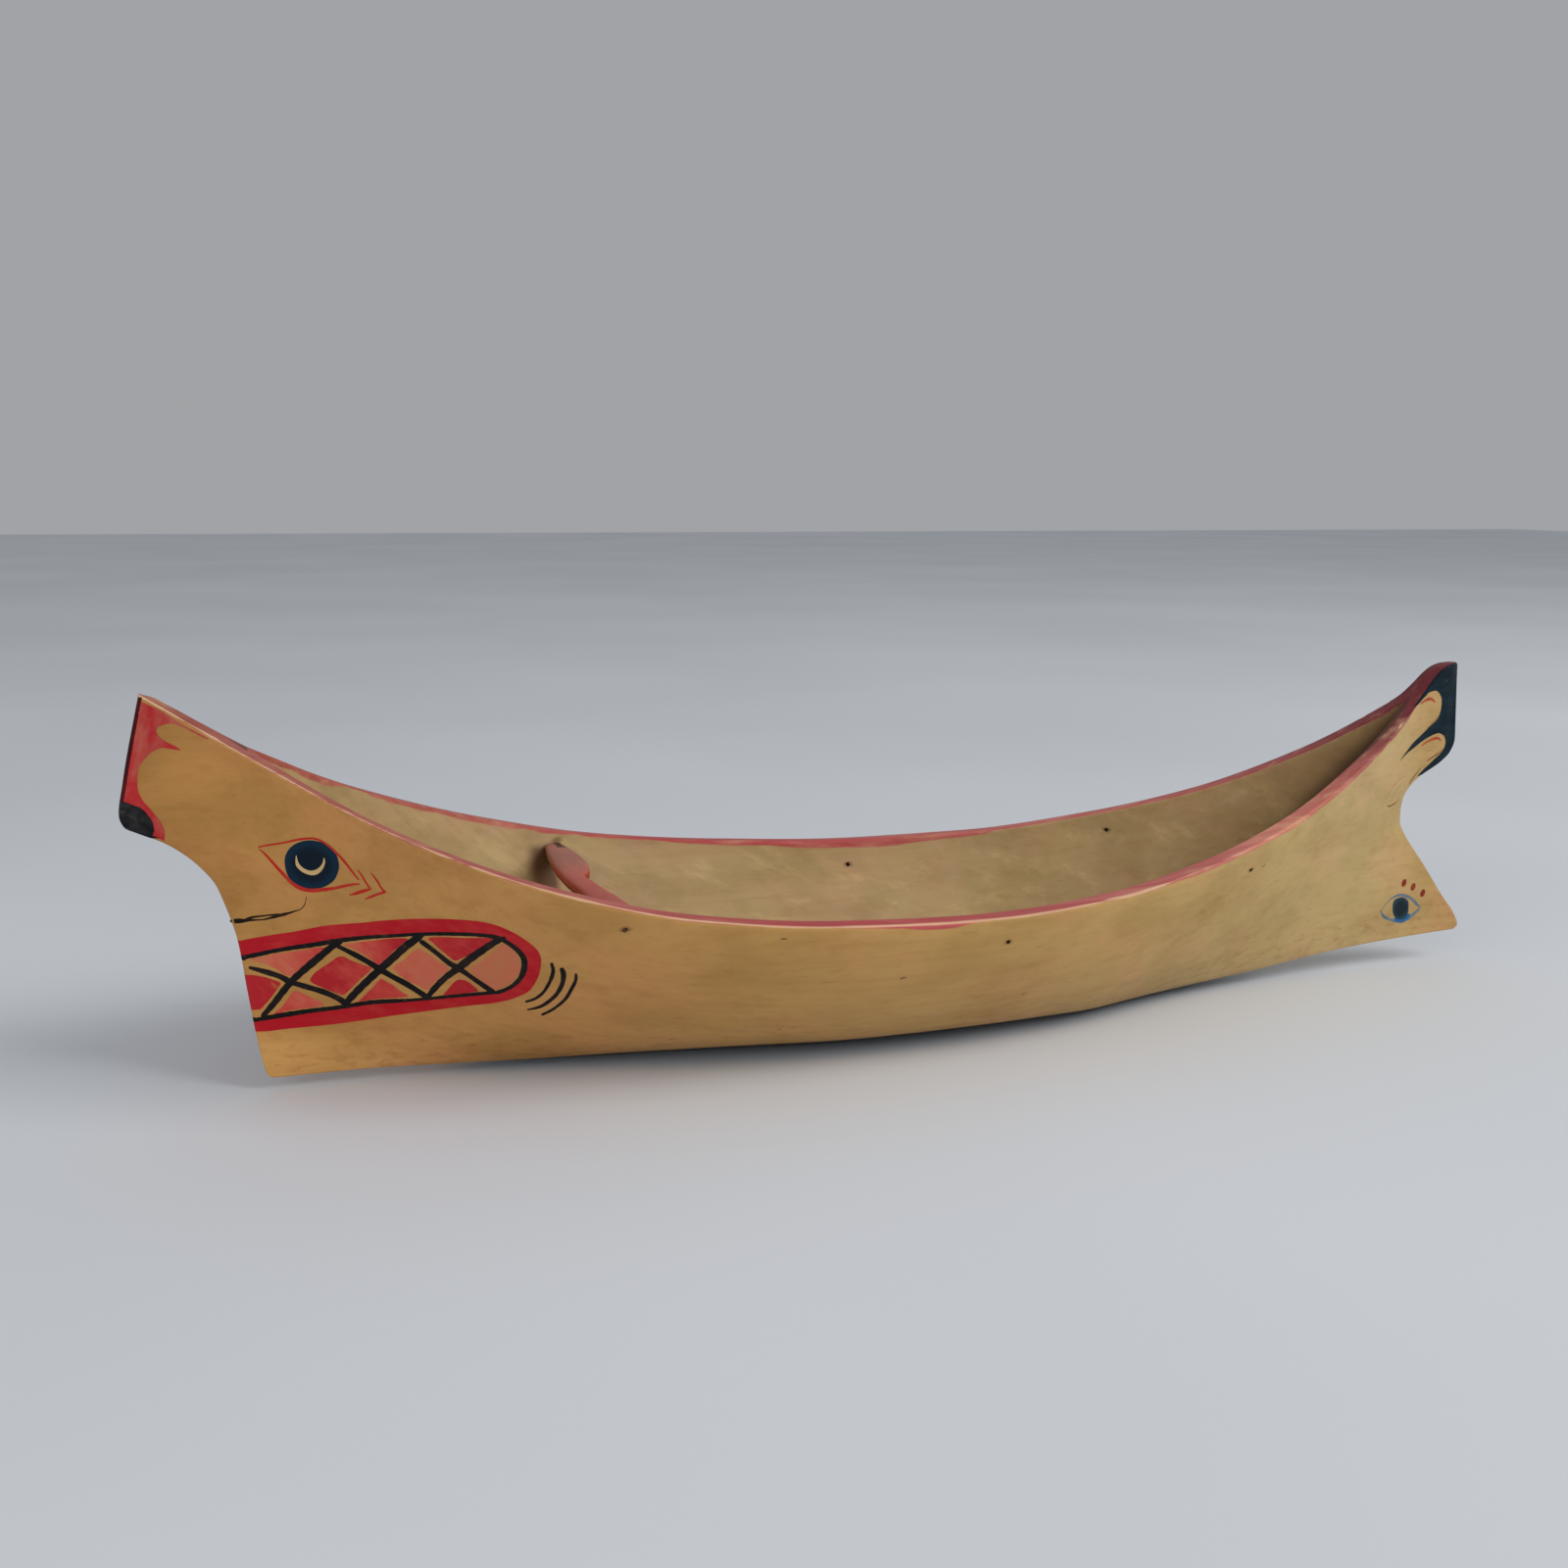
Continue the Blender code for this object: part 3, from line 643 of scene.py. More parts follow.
def nail_stained(tree, place, wood, holes):
    """Stains that the iron left round the nail holes, drawn out along the grain."""
    at_x, at_y, at_z = axes(tree, place)
    ragged = noise(tree, place, 800.0, (0.35, 1.0, 1.0), 3.0, 0.6)
    for x, side, z, radius in holes:
        along = sums(tree, "MULTIPLY", sums(tree, "SUBTRACT", at_x, x * MM), 1 / (STAIN_LONG * radius * MM))
        up = sums(tree, "MULTIPLY", sums(tree, "SUBTRACT", at_z, z * MM), 1 / (STAIN_TALL * radius * MM))
        away = sums(tree, "MULTIPLY_ADD", ragged, 1.6, distance(tree, along, up))
        own_side = between(tree, at_y, 0.0, side * 5.0 * MM)
        stain = sums(tree, "MULTIPLY", between(tree, away, 1.3, 2.9, 0.7, 0.0), own_side)
        wood = mixed(tree, stain, wood, (0.30, 0.20, 0.14), "MULTIPLY")
    return wood


def outside_wood():
    material, tree, place = new_material("oiled wood outside")
    wood, grain = wood_colour(tree, place, OUTSIDE_TONES)
    smudge = noise(tree, place, 75.0, (0.5, 1.0, 1.0), 5.0, 0.65)
    speckle = noise(tree, place, 380.0, (0.5, 1.0, 1.0), 3.0, 0.6)
    wood = toned(tree, wood, smudge, 0.54, 0.80, 0.55, (0.72, 0.62, 0.50))
    low = sums(tree, "MULTIPLY", between(tree, speckle, 0.50, 0.66),
               between(tree, written(tree, "rise above the sole"), 4.0, 20.0, 0.45, 0.12))
    wood = mixed(tree, low, wood, (0.66, 0.60, 0.50), "MULTIPLY")
    wood = nail_stained(tree, place, wood, NAIL_HOLES)
    # Painted light: the toe low on the bow is lightened and cooled, for light thrown up onto it from the
    # table.
    wood = mixed(tree, patch(tree, place, TOE_PAINTED_BOUNCE_LIGHT, 0.9), wood, (1.32, 1.38, 1.62), "MULTIPLY")
    # Painted shade: just above the sole the side turns near-black where the hull nears the table, standing
    # for the shade in the gap under it.
    painted_contact_shade = frayed(tree, written(tree, "painted shade of the sole"), smudge, 0.8)
    wood = toned(tree, wood, painted_contact_shade, -0.3, 0.3, 0.98, (0.010, 0.006, 0.006), "MIX")
    roughness = between(tree, smudge, 0.3, 0.8, 0.40, 0.55)
    bumps = [(grain, 0.2, 0.03), (smudge, 0.15, 0.12)]
    return surfaced(material, rim_painted(tree, place, wood), roughness, bumps)


def hollow_wood():
    material, tree, place = new_material("scooped wood inside")
    wood, grain = wood_colour(tree, place, INSIDE_TONES)
    scoops = noise(tree, place, 80.0, (0.45, 1.0, 0.9), 1.0, 0.4, 0.5)
    scuffs = noise(tree, place, 60.0, (0.5, 1.0, 1.6), 6.0, 0.7, -0.8)
    scratches = noise(tree, place, 210.0, (0.16, 1.0, 1.0), 4.0, 0.6, 0.55)
    strokes = noise(tree, place, 150.0, (0.20, 1.0, 1.0), 3.0, 0.55, 0.85)
    wood = toned(tree, wood, scuffs, 0.50, 0.75, 0.5, (0.46, 0.33, 0.20), "MIX")
    wood = toned(tree, wood, scoops, 0.50, 0.75, 0.45, (0.80, 0.78, 0.80))
    wood = toned(tree, wood, scratches, 0.52, 0.74, 0.6, (1.28, 1.32, 1.36))
    wood = toned(tree, wood, strokes, 0.50, 0.72, 0.5, (0.86, 0.90, 0.80))
    wood = nail_stained(tree, place, wood, NAIL_HOLES + [BRAD_MARK])
    # Painted shadow: the far wall under the thwart is darkened where the thwart's shadow falls.
    wood = mixed(tree, patch(tree, place, THWART_PAINTED_SHADOW, 0.9), wood, (0.26, 0.17, 0.14), "MULTIPLY")
    return surfaced(material, rim_painted(tree, place, wood), 0.58, [(scoops, 0.35, 0.5), (grain, 0.2, 0.03)])


def dark_hole():
    material, tree, place = new_material("dark wood in the nail holes")
    soot = noise(tree, place, 1500.0, EVEN, 3.0)
    colour = ramp(tree, soot, [(0.35, (0.02, 0.012, 0.006)), (0.7, (0.09, 0.05, 0.022))])
    return surfaced(material, colour, 0.8, [(soot, 0.4, 0.05)])


dugout = carved_hull([outside_wood(), hollow_wood()])
drilled(dugout, dark_hole())
mark_rim(dugout)
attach(dugout, "root")
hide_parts("hull")

# The red front of the prow, brushed thinly on the wood over both sides and across the edge of the stem,
# with scalloped after edges, and a darker line along the stem: thicker paint, made darker still as painted
# shade on the stem's front face.

# Heights of the paint off the wood. Layers that cross lie hundredths of a millimetre apart. Within a piece
# each shape lies LAYER_STEP above the one before it, and after LAYERS shapes that starts again.
PAINT_LIFT = 0.03
LINE_LIFT = 0.05
FRONT_LIFT = 0.06
MAROON_LIFT = 0.075
LAYER_STEP = 0.002
LAYERS = 9
# Heights on the stem between which the front and its maroon edge reach it.
FRONT_AT_STEM = (73.5, 111.0)
MAROON_AT_STEM = (84.6, 112.2)
FRONT_AFT_EDGE = [
    (-216.2, 110.8), (-212.5, 108.9), (-208.3, 105.8), (-206.2, 104.4), (-203.8, 103.0), (-200.8, 101.1),
    (-201.7, 101.2), (-204.3, 102.7), (-206.7, 104.1), (-209.4, 105.2), (-210.7, 105.2), (-212.2, 104.8),
    (-213.2, 104.2), (-213.6, 103.3), (-213.1, 102.0), (-212.0, 100.9), (-210.1, 99.7), (-208.4, 98.7),
    (-208.0, 98.1), (-209.9, 98.4), (-212.4, 98.8), (-213.8, 98.4), (-215.3, 97.4), (-216.6, 96.2),
    (-217.7, 94.8), (-218.6, 93.2), (-219.0, 91.1), (-219.1, 89.2), (-219.0, 87.4), (-218.5, 85.8),
    (-217.8, 84.4), (-216.6, 82.8), (-215.5, 81.3), (-214.4, 79.7), (-213.5, 77.9), (-213.1, 76.3),
    (-213.2, 74.4), (-213.5, 73.3)]
# How far in from a stem's edge, in parts of its rounding, and down from the gunwale, in parts of the band's
# depth, the rows of a band of paint lie.
STEM_WAYS = (1.35, 1.1, 0.85, 0.65, 0.45, 0.28, 0.14, 0.05, 0.01)
RIM_WAYS = (1.0, 0.8, 0.63, 0.5, 0.37, 0.25, 0.16, 0.08, 0.02)
STROKE_TIP = (0.35, 0.7, 0.92, 1.0)


def on_skin(x, z, side, lift):
    """Points lying on the outside of the hull, lifted a hair off it."""
    x, z = np.asarray(x, float), np.asarray(z, float)
    near = 0.04
    slope_x = (skin_y(x + near, z) - skin_y(x - near, z)) / (2 * near)
    slope_z = (skin_y(x, z + near) - skin_y(x, z - near)) / (2 * near)
    lift = lift / np.sqrt(1 + slope_x ** 2 + slope_z ** 2)
    return np.stack([x - slope_x * lift, side * (skin_y(x, z) + lift), z - slope_z * lift], -1)


def brushed(points, closed=False, step=0.5):
    """A smooth line through given points, with all their numbers eased alike."""
    p = np.array(points, float)
    if closed:
        p = np.concatenate([p[-1:], p, p[:2]])
    else:
        p = np.concatenate([2 * p[:1] - p[1:2], p, 2 * p[-1:] - p[-2:-1]])
    line = []
    for a, b, c, d in zip(p, p[1:], p[2:], p[3:]):
        count = max(2, int(np.linalg.norm((c - b)[:2]) / step))
        for t in np.arange(count) / count:
            line.append(b + 0.5 * t * (c - a + t * (2 * a - 5 * b + 4 * c - d + t * (3 * (b - c) + d - a))))
    if not closed:
        line.append(p[-2])
    return np.array(line)


def stem_edge(stem, start, end, inset=0.72):
    """Points a little inside a stem's edge, from one height to another."""
    z = np.linspace(start, end, max(2, int(abs(end - start) / 0.6)))
    inward = 1 if stem is BOW_STEM else -1
    return np.stack([stem_at(stem, z) + inward * inset * np.hypot(1, stem_lean(stem, z)), z], -1)


def within(points, outline):
    """Which points lie inside a closed outline."""
    x, z = points[:, 0, None], points[:, 1, None]
    ax, az = outline.T
    bx, bz = np.roll(outline, -1, 0).T
    crosses = (az > z) != (bz > z)
    rise = np.where(bz == az, 1.0, bz - az)
    return ((crosses & (x < ax + (z - az) * (bx - ax) / rise)).sum(1) % 2) == 1


def filled(outline, gap=1.2):
    """Small triangles that fill a closed outline, so that the paint can follow the skin."""
    outline = np.asarray(outline, float)[:, :2]
    low, high = outline.min(0), outline.max(0)
    x, z = np.meshgrid(np.arange(low[0], high[0], gap), np.arange(low[1], high[1], gap * 0.87))
    x[1::2] += gap / 2
    spread = np.stack([x.ravel(), z.ravel()], 1)
    spread = spread[within(spread, outline)]
    clear = np.linalg.norm(spread[:, None] - outline[None], axis=-1).min(1) > 0.45 * gap
    points = np.concatenate([outline, spread[clear]])
    count = len(outline)
    loop = [(i, (i + 1) % count) for i in range(count)]
    made = delaunay_2d_cdt([Vector(p) for p in points], loop, [], 1, 1e-5)
    return np.array([tuple(v) for v in made[0]]), [tuple(face) for face in made[2]]


def dab(outline, gap=1.2, step=0.5):
    """A filled shape with a smooth outline."""
    return filled(brushed(outline, True, step), gap)


def unit(lines):
    return lines / np.maximum(np.linalg.norm(lines, axis=-1, keepdims=True), 1e-6)


def stroke(points):
    """One brush stroke: a smooth line with a width at each point, a slight waver and round ends."""
    line = brushed(points)
    for end, other in ((0, 1), (-1, -2)):
        away = unit(line[end, :2] - line[other, :2])
        half = line[end, 2] / 2
        tip = [(line[end, 0] + away[0] * half * s, line[end, 1] + away[1] * half * s,
                line[end, 2] * math.sqrt(max(1 - s * s, 0.004))) for s in STROKE_TIP]
        line = np.concatenate([tip[::-1], line]) if end == 0 else np.concatenate([line, tip])
    along = unit(np.gradient(line[:, :2], axis=0))
    across = np.stack([-along[:, 1], along[:, 0]], 1)
    x, z, width = line.T
    waver = 1 + 0.05 * np.sin(x * 1.9 + z * 1.3) + 0.04 * np.sin(x * 4.1 - z * 3.3)
    half = (width / 2 * waver)[:, None]
    points = np.concatenate([line[:, :2] + across * half, line[:, :2], line[:, :2] - across * half])
    n = len(line)
    faces = []
    for k in range(n - 1):
        faces.append((k + n, k + 1 + n, k + 1, k))
        faces.append((k + 2 * n, k + 1 + 2 * n, k + 1 + n, k + n))
    return points, faces


def grid_faces(rows, columns, first=0, turn=1):
    """The faces of a grid of points, numbered row by row from the first. A turn of -1 flips them."""
    faces = []
    for r in range(rows - 1):
        for c in range(columns - 1):
            a = first + r * columns + c
            faces.append((a, a + columns, a + columns + 1, a + 1)[::turn])
    return faces


def wrapped(stem, start, end, lift):
    """A band of paint carried across the edge of a stem from side to side, between two heights."""
    z = np.linspace(start, end, max(3, int(abs(end - start) / 0.5)))
    lean = stem_lean(stem, z)
    factor = np.hypot(1, lean)
    inward = 1 if stem is BOW_STEM else -1
    edge = stem_at(stem, z)
    near, far = ([on_skin(edge + inward * STEM_EASE * way * factor, z, side, lift) for way in STEM_WAYS]
                 for side in (-1, 1))
    face = np.stack([edge - inward * lift / factor, 0 * z, z + inward * lift * lean / factor], -1)
    grid = np.stack(near + [face] + far[::-1], 1)
    return grid.reshape(-1, 3), grid_faces(*grid.shape[:2], turn=inward)


def along_rim(depths, lift):
    """Two bands of paint carried up to the edge of the rim, one on each side, of the given depths."""
    x = np.arange(depths[0][0], depths[-1][0], 0.5)
    down = fair(depths, x)
    grids, faces = [], []
    for side in (-1, 1):
        first = (side > 0) * len(x) * len(RIM_WAYS)
        grids.append(np.stack([on_skin(x, fair(SHEER, x) - down * way, side, lift) for way in RIM_WAYS], 1))
        faces += grid_faces(len(x), len(RIM_WAYS), first, -side)
    return np.concatenate(grids).reshape(-1, 3), faces


def turned_area(points, faces):
    """The area of a flat shape's first faces, which is negative where they run clockwise."""
    area = 0.0
    for face in faces[:40]:
        loop = points[list(face)]
        after = np.roll(loop, -1, 0)
        area += float((loop[:, 0] * after[:, 1] - loop[:, 1] * after[:, 0]).sum())
    return area


def painted(name, shapes, material, slot, lift=PAINT_LIFT, sides=(-1, 1), caps=(), loads=None):
    """Paint shapes laid on one or both sides of the hull as one piece, with their loads of colour. Caps are
    bands that are ready in space."""
    points, faces, load = [], [], []
    count = 0
    for number, (flat, flat_faces) in enumerate(shapes):
        flat = np.asarray(flat, float)
        area = turned_area(flat, flat_faces)
        for side in sides:
            points.append(on_skin(flat[:, 0], flat[:, 1], side, lift + LAYER_STEP * (number % LAYERS)))
            turn = 1 if (area > 0) == (side < 0) else -1
            faces += [tuple(i + count for i in face[::turn]) for face in flat_faces]
            count += len(flat)
            first, last = loads[number] if loads else (1.0, 1.0)
            share = (flat[:, 0] - flat[:, 0].min()) / max(np.ptp(flat[:, 0]), 1e-6)
            load.append(first + (last - first) * share)
    for grid, cap_faces in caps:
        points.append(grid)
        faces += [tuple(i + count for i in face) for face in cap_faces]
        count += len(grid)
        load.append(np.ones(len(grid)))
    mesh = mesh_of(name, np.concatenate(points), faces)
    if loads:
        note = mesh.attributes.new("load of colour", "FLOAT", "POINT")
        note.data.foreach_set("value", np.concatenate(load).astype(np.float32))
    obj = in_scene(name, mesh, [material])
    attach(obj, "root")
    return obj


def stroked(name, lines, material, slot, lift=LINE_LIFT, **more):
    """Brush strokes laid on the hull as one piece."""
    return painted(name, [stroke(line) for line in lines], material, slot, lift, **more)


def paint(name, full, thin, thinness=0.6, show=0.25, streak=(0.25, 1.0, 1.0), turn=0.0):
    """Matt paint brushed on wood: a fuller and a thinner colour in streaks, and wood where it is rubbed.
    The thinness is how far the thinner colour takes over, and show how far the wood shows through."""
    material, tree, place = new_material(name, 0.08)
    wood, grain = wood_colour(tree, place, OUTSIDE_TONES)
    streaks = noise(tree, place, 330.0, streak, 4.0, 0.6, turn)
    clouds = noise(tree, place, 110.0, EVEN, 3.0)
    rubbed = noise(tree, place, 700.0, (0.5, 1.0, 1.0), 5.0, 0.7)
    uneven = sums(tree, "MULTIPLY_ADD", clouds, 0.5, sums(tree, "MULTIPLY", streaks, 0.5))
    colour = mixed(tree, between(tree, uneven, 0.42, 0.66, 0.0, thinness), full, thin)
    colour = toned(tree, colour, rubbed, 0.60, 0.78, show, wood, "MIX")
    roughness = between(tree, clouds, 0.3, 0.75, 0.42, 0.56)
    return surfaced(material, colour, roughness, [(streaks, 0.25, 0.03), (grain, 0.15, 0.02)])


front = np.concatenate([brushed(FRONT_AFT_EDGE), stem_edge(BOW_STEM, *FRONT_AT_STEM)])
prow_red = paint("red on the prow", (0.44, 0.022, 0.026), (0.46, 0.12, 0.085), 0.8, 0.45,
                 (1.0, 1.0, 0.3), 0.3)
painted("prow_front", [filled(front, 0.8)], prow_red, "red painted wood", lift=FRONT_LIFT)
# Painted shade: the stem's dark red is darker than its paint alone, standing also for the shade on the stem's
# front face.
stem_maroon_and_shade = paint("dark red and painted shade along the stem", (0.045, 0.003, 0.005), (0.11, 0.010, 0.010), 0.7, 0.35,
                    (1.0, 1.0, 0.4))
painted("prow_stem", [], stem_maroon_and_shade, "red painted wood",
        caps=[wrapped(BOW_STEM, *MAROON_AT_STEM, MAROON_LIFT)])

# The black nose on the overhang's lowest point, one thick dab of paint over both sides and the edge
# between them, scuffed through where the prow has been set down.

NOSE_EDGE = [
    (-223.3, 84.9), (-221.9, 84.4), (-220.2, 83.5), (-218.8, 82.9), (-217.7, 81.8), (-216.8, 80.5),
    (-216.0, 79.1), (-215.7, 77.4), (-215.7, 76.1), (-216.4, 74.8)]
NOSE_AT_STEM = (74.8, 84.6)
NOSE_WRAP = (74.4, 84.8)
NOSE_LIFT = 0.09
NOSE_WRAP_LIFT = 0.10

nose = np.concatenate([brushed(NOSE_EDGE), stem_edge(BOW_STEM, *NOSE_AT_STEM)])
nose_black = paint("black on the nose", (0.008, 0.008, 0.010), (0.050, 0.050, 0.048), 0.8, 0.3,
                   (0.6, 1.0, 1.0), 0.6)
painted("nose", [filled(nose, 0.7)], nose_black, "bare wood", lift=NOSE_LIFT,
        caps=[wrapped(BOW_STEM, *NOSE_WRAP, NOSE_WRAP_LIFT)])

# The eye: a navy disc with a crescent left bare in it, inside thin red lids with two small
# chevrons behind the outer corner.

EYE_MIDDLE = (-176.8, 67.0)
EYE_RIM = 6.8
CRESCENT_LIFT = 0.06
EYE_DISC = [
    (-176.5, 74.2), (-173.4, 73.6), (-171.1, 71.7), (-170.1, 69.0), (-170.1, 66.1), (-171.4, 62.9),
    (-174.0, 60.8), (-177.1, 60.0), (-180.3, 61.0), (-182.4, 63.1), (-183.3, 66.3), (-183.1, 69.4),
    (-181.6, 72.0), (-179.2, 73.6)]
EYE_CRESCENT = [
    (-180.4, 69.7), (-180.6, 67.1), (-179.6, 65.5), (-178.1, 64.5), (-176.4, 64.2), (-174.9, 64.9),
    (-173.8, 66.5), (-173.3, 68.3), (-173.6, 69.5), (-173.9, 68.1), (-174.6, 66.8), (-175.8, 65.8),
    (-177.2, 65.5), (-178.8, 66.2), (-179.9, 67.6)]
LID_TOP = [
    (-189.6, 71.6, 0.5), (-187.0, 72.3, 0.5), (-183.3, 73.1, 0.5), (-180.1, 74.1, 0.6), (-177.2, 74.7, 0.6),
    (-175.6, 74.7, 0.6), (-173.7, 74.0, 0.6), (-171.8, 72.5, 0.6), (-169.9, 70.4, 0.6), (-168.3, 68.3, 0.6),
    (-166.7, 65.9, 0.5), (-165.3, 63.9, 0.4)]
LID_LOW = [
    (-189.5, 71.0, 0.3), (-187.8, 69.2, 0.6), (-185.5, 66.2, 0.8), (-183.6, 63.8, 0.9), (-181.7, 61.6, 1.0),
    (-179.8, 60.3, 1.1), (-177.6, 59.7, 1.1), (-175.2, 59.9, 1.1), (-171.5, 60.7, 0.9), (-168.6, 61.7, 0.8),
    (-166.7, 62.3, 0.7), (-165.1, 62.6, 0.4)]
CHEVRONS = [
    [(-165.4, 66.6, 0.3), (-164.3, 64.8, 0.5), (-163.4, 63.0, 0.5), (-162.5, 61.5, 0.6)],
    [(-162.5, 61.3, 0.6), (-164.4, 60.5, 1.0), (-166.0, 59.7, 0.8), (-167.5, 59.1, 0.3)],
    [(-162.2, 66.1, 0.3), (-160.8, 63.9, 0.5), (-159.9, 62.1, 0.5), (-158.9, 60.8, 0.6)],
    [(-158.9, 60.8, 0.6), (-160.8, 59.9, 0.7), (-162.5, 58.9, 0.6), (-163.7, 58.2, 0.3)]]


def eye_paint(name, centre, middle, ring, rim):
    """Dark paint that is thinner and bluer towards the rim of a round eye."""
    material, tree, place = new_material(name, 0.1)
    x, y, z = axes(tree, place)
    off_x, off_z = (sums(tree, "SUBTRACT", at, own * MM) for at, own in zip((x, z), centre))
    streaks = noise(tree, place, 500.0, EVEN, 4.0, 0.6)
    away = sums(tree, "MULTIPLY_ADD", streaks, 1.6 * MM, distance(tree, off_x, off_z))
    colour = mixed(tree, between(tree, away, (rim * 0.55 + 0.8) * MM, (rim * 0.95 + 0.8) * MM), middle, ring)
    return surfaced(material, colour, between(tree, streaks, 0.3, 0.7, 0.34, 0.48), [(streaks, 0.2, 0.03)])


def bare_wood():
    material, tree, place = new_material("bare wood in the eye")
    wood, grain = wood_colour(tree, place, [(-200.0, (0.66, 0.44, 0.19)), (-150.0, (0.66, 0.46, 0.21))])
    return surfaced(material, wood, 0.5, [(grain, 0.2, 0.03)])


navy = eye_paint("navy eye paint", EYE_MIDDLE, (0.003, 0.010, 0.020), (0.004, 0.022, 0.045), EYE_RIM)
line_red = paint("thin red line paint", (0.50, 0.020, 0.014), (0.50, 0.065, 0.034), 0.6, 0.3)
painted("eye_disc", [dab(EYE_DISC)], navy, "bare wood")
painted("eye_crescent", [dab(EYE_CRESCENT, 0.8, 0.3)], bare_wood(), "bare wood", lift=CRESCENT_LIFT)
stroked("eye_lids", [LID_TOP, LID_LOW] + CHEVRONS, line_red, "red painted wood")

# The mouth: a crimson band and a black line round it, black strokes crossed over it like
# teeth, and a wash of red between them, fuller in some places and thin salmon in others.

MOUTH_OUTER = [
    (-195.8, 44.3), (-191.8, 45.3), (-186.7, 46.4), (-181.7, 47.4), (-174.2, 49.4), (-169.3, 50.3),
    (-164.4, 51.1), (-159.6, 52.1), (-151.2, 53.4), (-143.0, 54.0), (-138.3, 54.0), (-134.8, 53.7),
    (-130.7, 52.5), (-126.3, 50.0), (-122.5, 46.8), (-120.8, 44.3), (-120.2, 41.3), (-120.3, 37.7),
    (-120.9, 34.9), (-122.2, 31.7), (-124.5, 29.7), (-127.3, 28.1), (-131.7, 26.7), (-136.6, 25.8),
    (-146.6, 23.7), (-156.8, 21.8), (-167.1, 20.0), (-174.9, 19.1), (-185.3, 18.3), (-189.2, 17.9),
    (-192.6, 17.9)]
MOUTH_LINE = [
    (-194.3, 39.7, 1.3), (-190.7, 40.6, 1.3), (-186.9, 41.6, 1.2), (-181.9, 42.7, 1.3), (-176.8, 43.7, 1.4),
    (-170.6, 45.2, 1.4), (-163.2, 46.7, 1.2), (-157.1, 47.6, 1.1), (-149.9, 48.7, 1.1), (-142.8, 49.4, 1.2),
    (-135.7, 49.6, 1.2), (-131.4, 49.0, 1.4), (-127.7, 46.7, 1.3), (-124.9, 43.4, 1.4), (-124.2, 40.1, 1.6),
    (-124.7, 36.4, 1.4), (-126.6, 33.2, 1.3), (-129.6, 31.0, 1.3), (-132.0, 30.5, 1.2), (-140.6, 29.0, 1.2),
    (-150.6, 27.3, 1.0), (-156.9, 26.7, 1.4), (-162.5, 26.2, 1.4), (-170.9, 24.6, 1.3), (-178.7, 23.6, 1.4),
    (-186.4, 22.4, 1.5), (-191.9, 21.5, 1.2)]
TEETH = [
    [(-193.3, 36.6, 0.9), (-190.2, 35.7, 1.5), (-185.9, 34.2, 1.6), (-183.2, 32.6, 1.7),
     (-179.2, 31.1, 1.6), (-174.7, 29.5, 1.7), (-170.9, 27.5, 1.7), (-169.1, 26.0, 1.7)],
    [(-190.5, 22.6, 1.4), (-187.5, 26.3, 1.8), (-183.2, 32.2, 1.9), (-179.6, 36.0, 2.0),
     (-175.7, 39.8, 2.0), (-171.9, 43.6, 1.9), (-170.4, 44.9, 1.9)],
    [(-170.4, 43.4, 1.2), (-166.9, 41.5, 1.5), (-163.2, 39.2, 1.7), (-160.0, 36.9, 1.8),
     (-157.0, 34.8, 1.7), (-153.2, 32.4, 1.7), (-148.8, 29.0, 1.7), (-147.5, 27.7, 1.2)],
    [(-169.1, 25.5, 1.7), (-166.6, 28.9, 2.0), (-163.2, 33.1, 2.0), (-160.0, 36.9, 2.1),
     (-157.0, 40.4, 2.1), (-154.2, 43.9, 2.1), (-151.1, 47.2, 2.2), (-149.9, 48.4, 1.6)],
    [(-149.6, 46.2, 1.4), (-146.1, 43.1, 1.4), (-142.9, 40.1, 1.5), (-140.4, 38.4, 1.7),
     (-137.3, 35.9, 1.4), (-134.2, 33.3, 1.4), (-131.6, 31.2, 1.7)],
    [(-147.8, 28.1, 1.4), (-145.7, 31.8, 1.7), (-143.4, 35.1, 1.8), (-140.4, 38.4, 2.1),
     (-137.6, 41.8, 2.2), (-134.3, 45.3, 2.1), (-131.4, 48.2, 1.9), (-130.0, 49.1, 1.1)]]
# Heights on the stem between which the band, the washes and the line reach it and are carried round it.
BAND_AT_STEM = [(17.95, 20.9), (40.1, 44.3)]
BAND_WRAPS = [(40.2, 44.4), (17.9, 20.8)]
WASH_AT_STEM = (24.3, 34.5)
LINE_WRAPS = [(38.7, 40.2), (20.8, 22.1)]
BAND_WRAP_LIFT = 0.036
LINE_WRAP_LIFT = 0.055
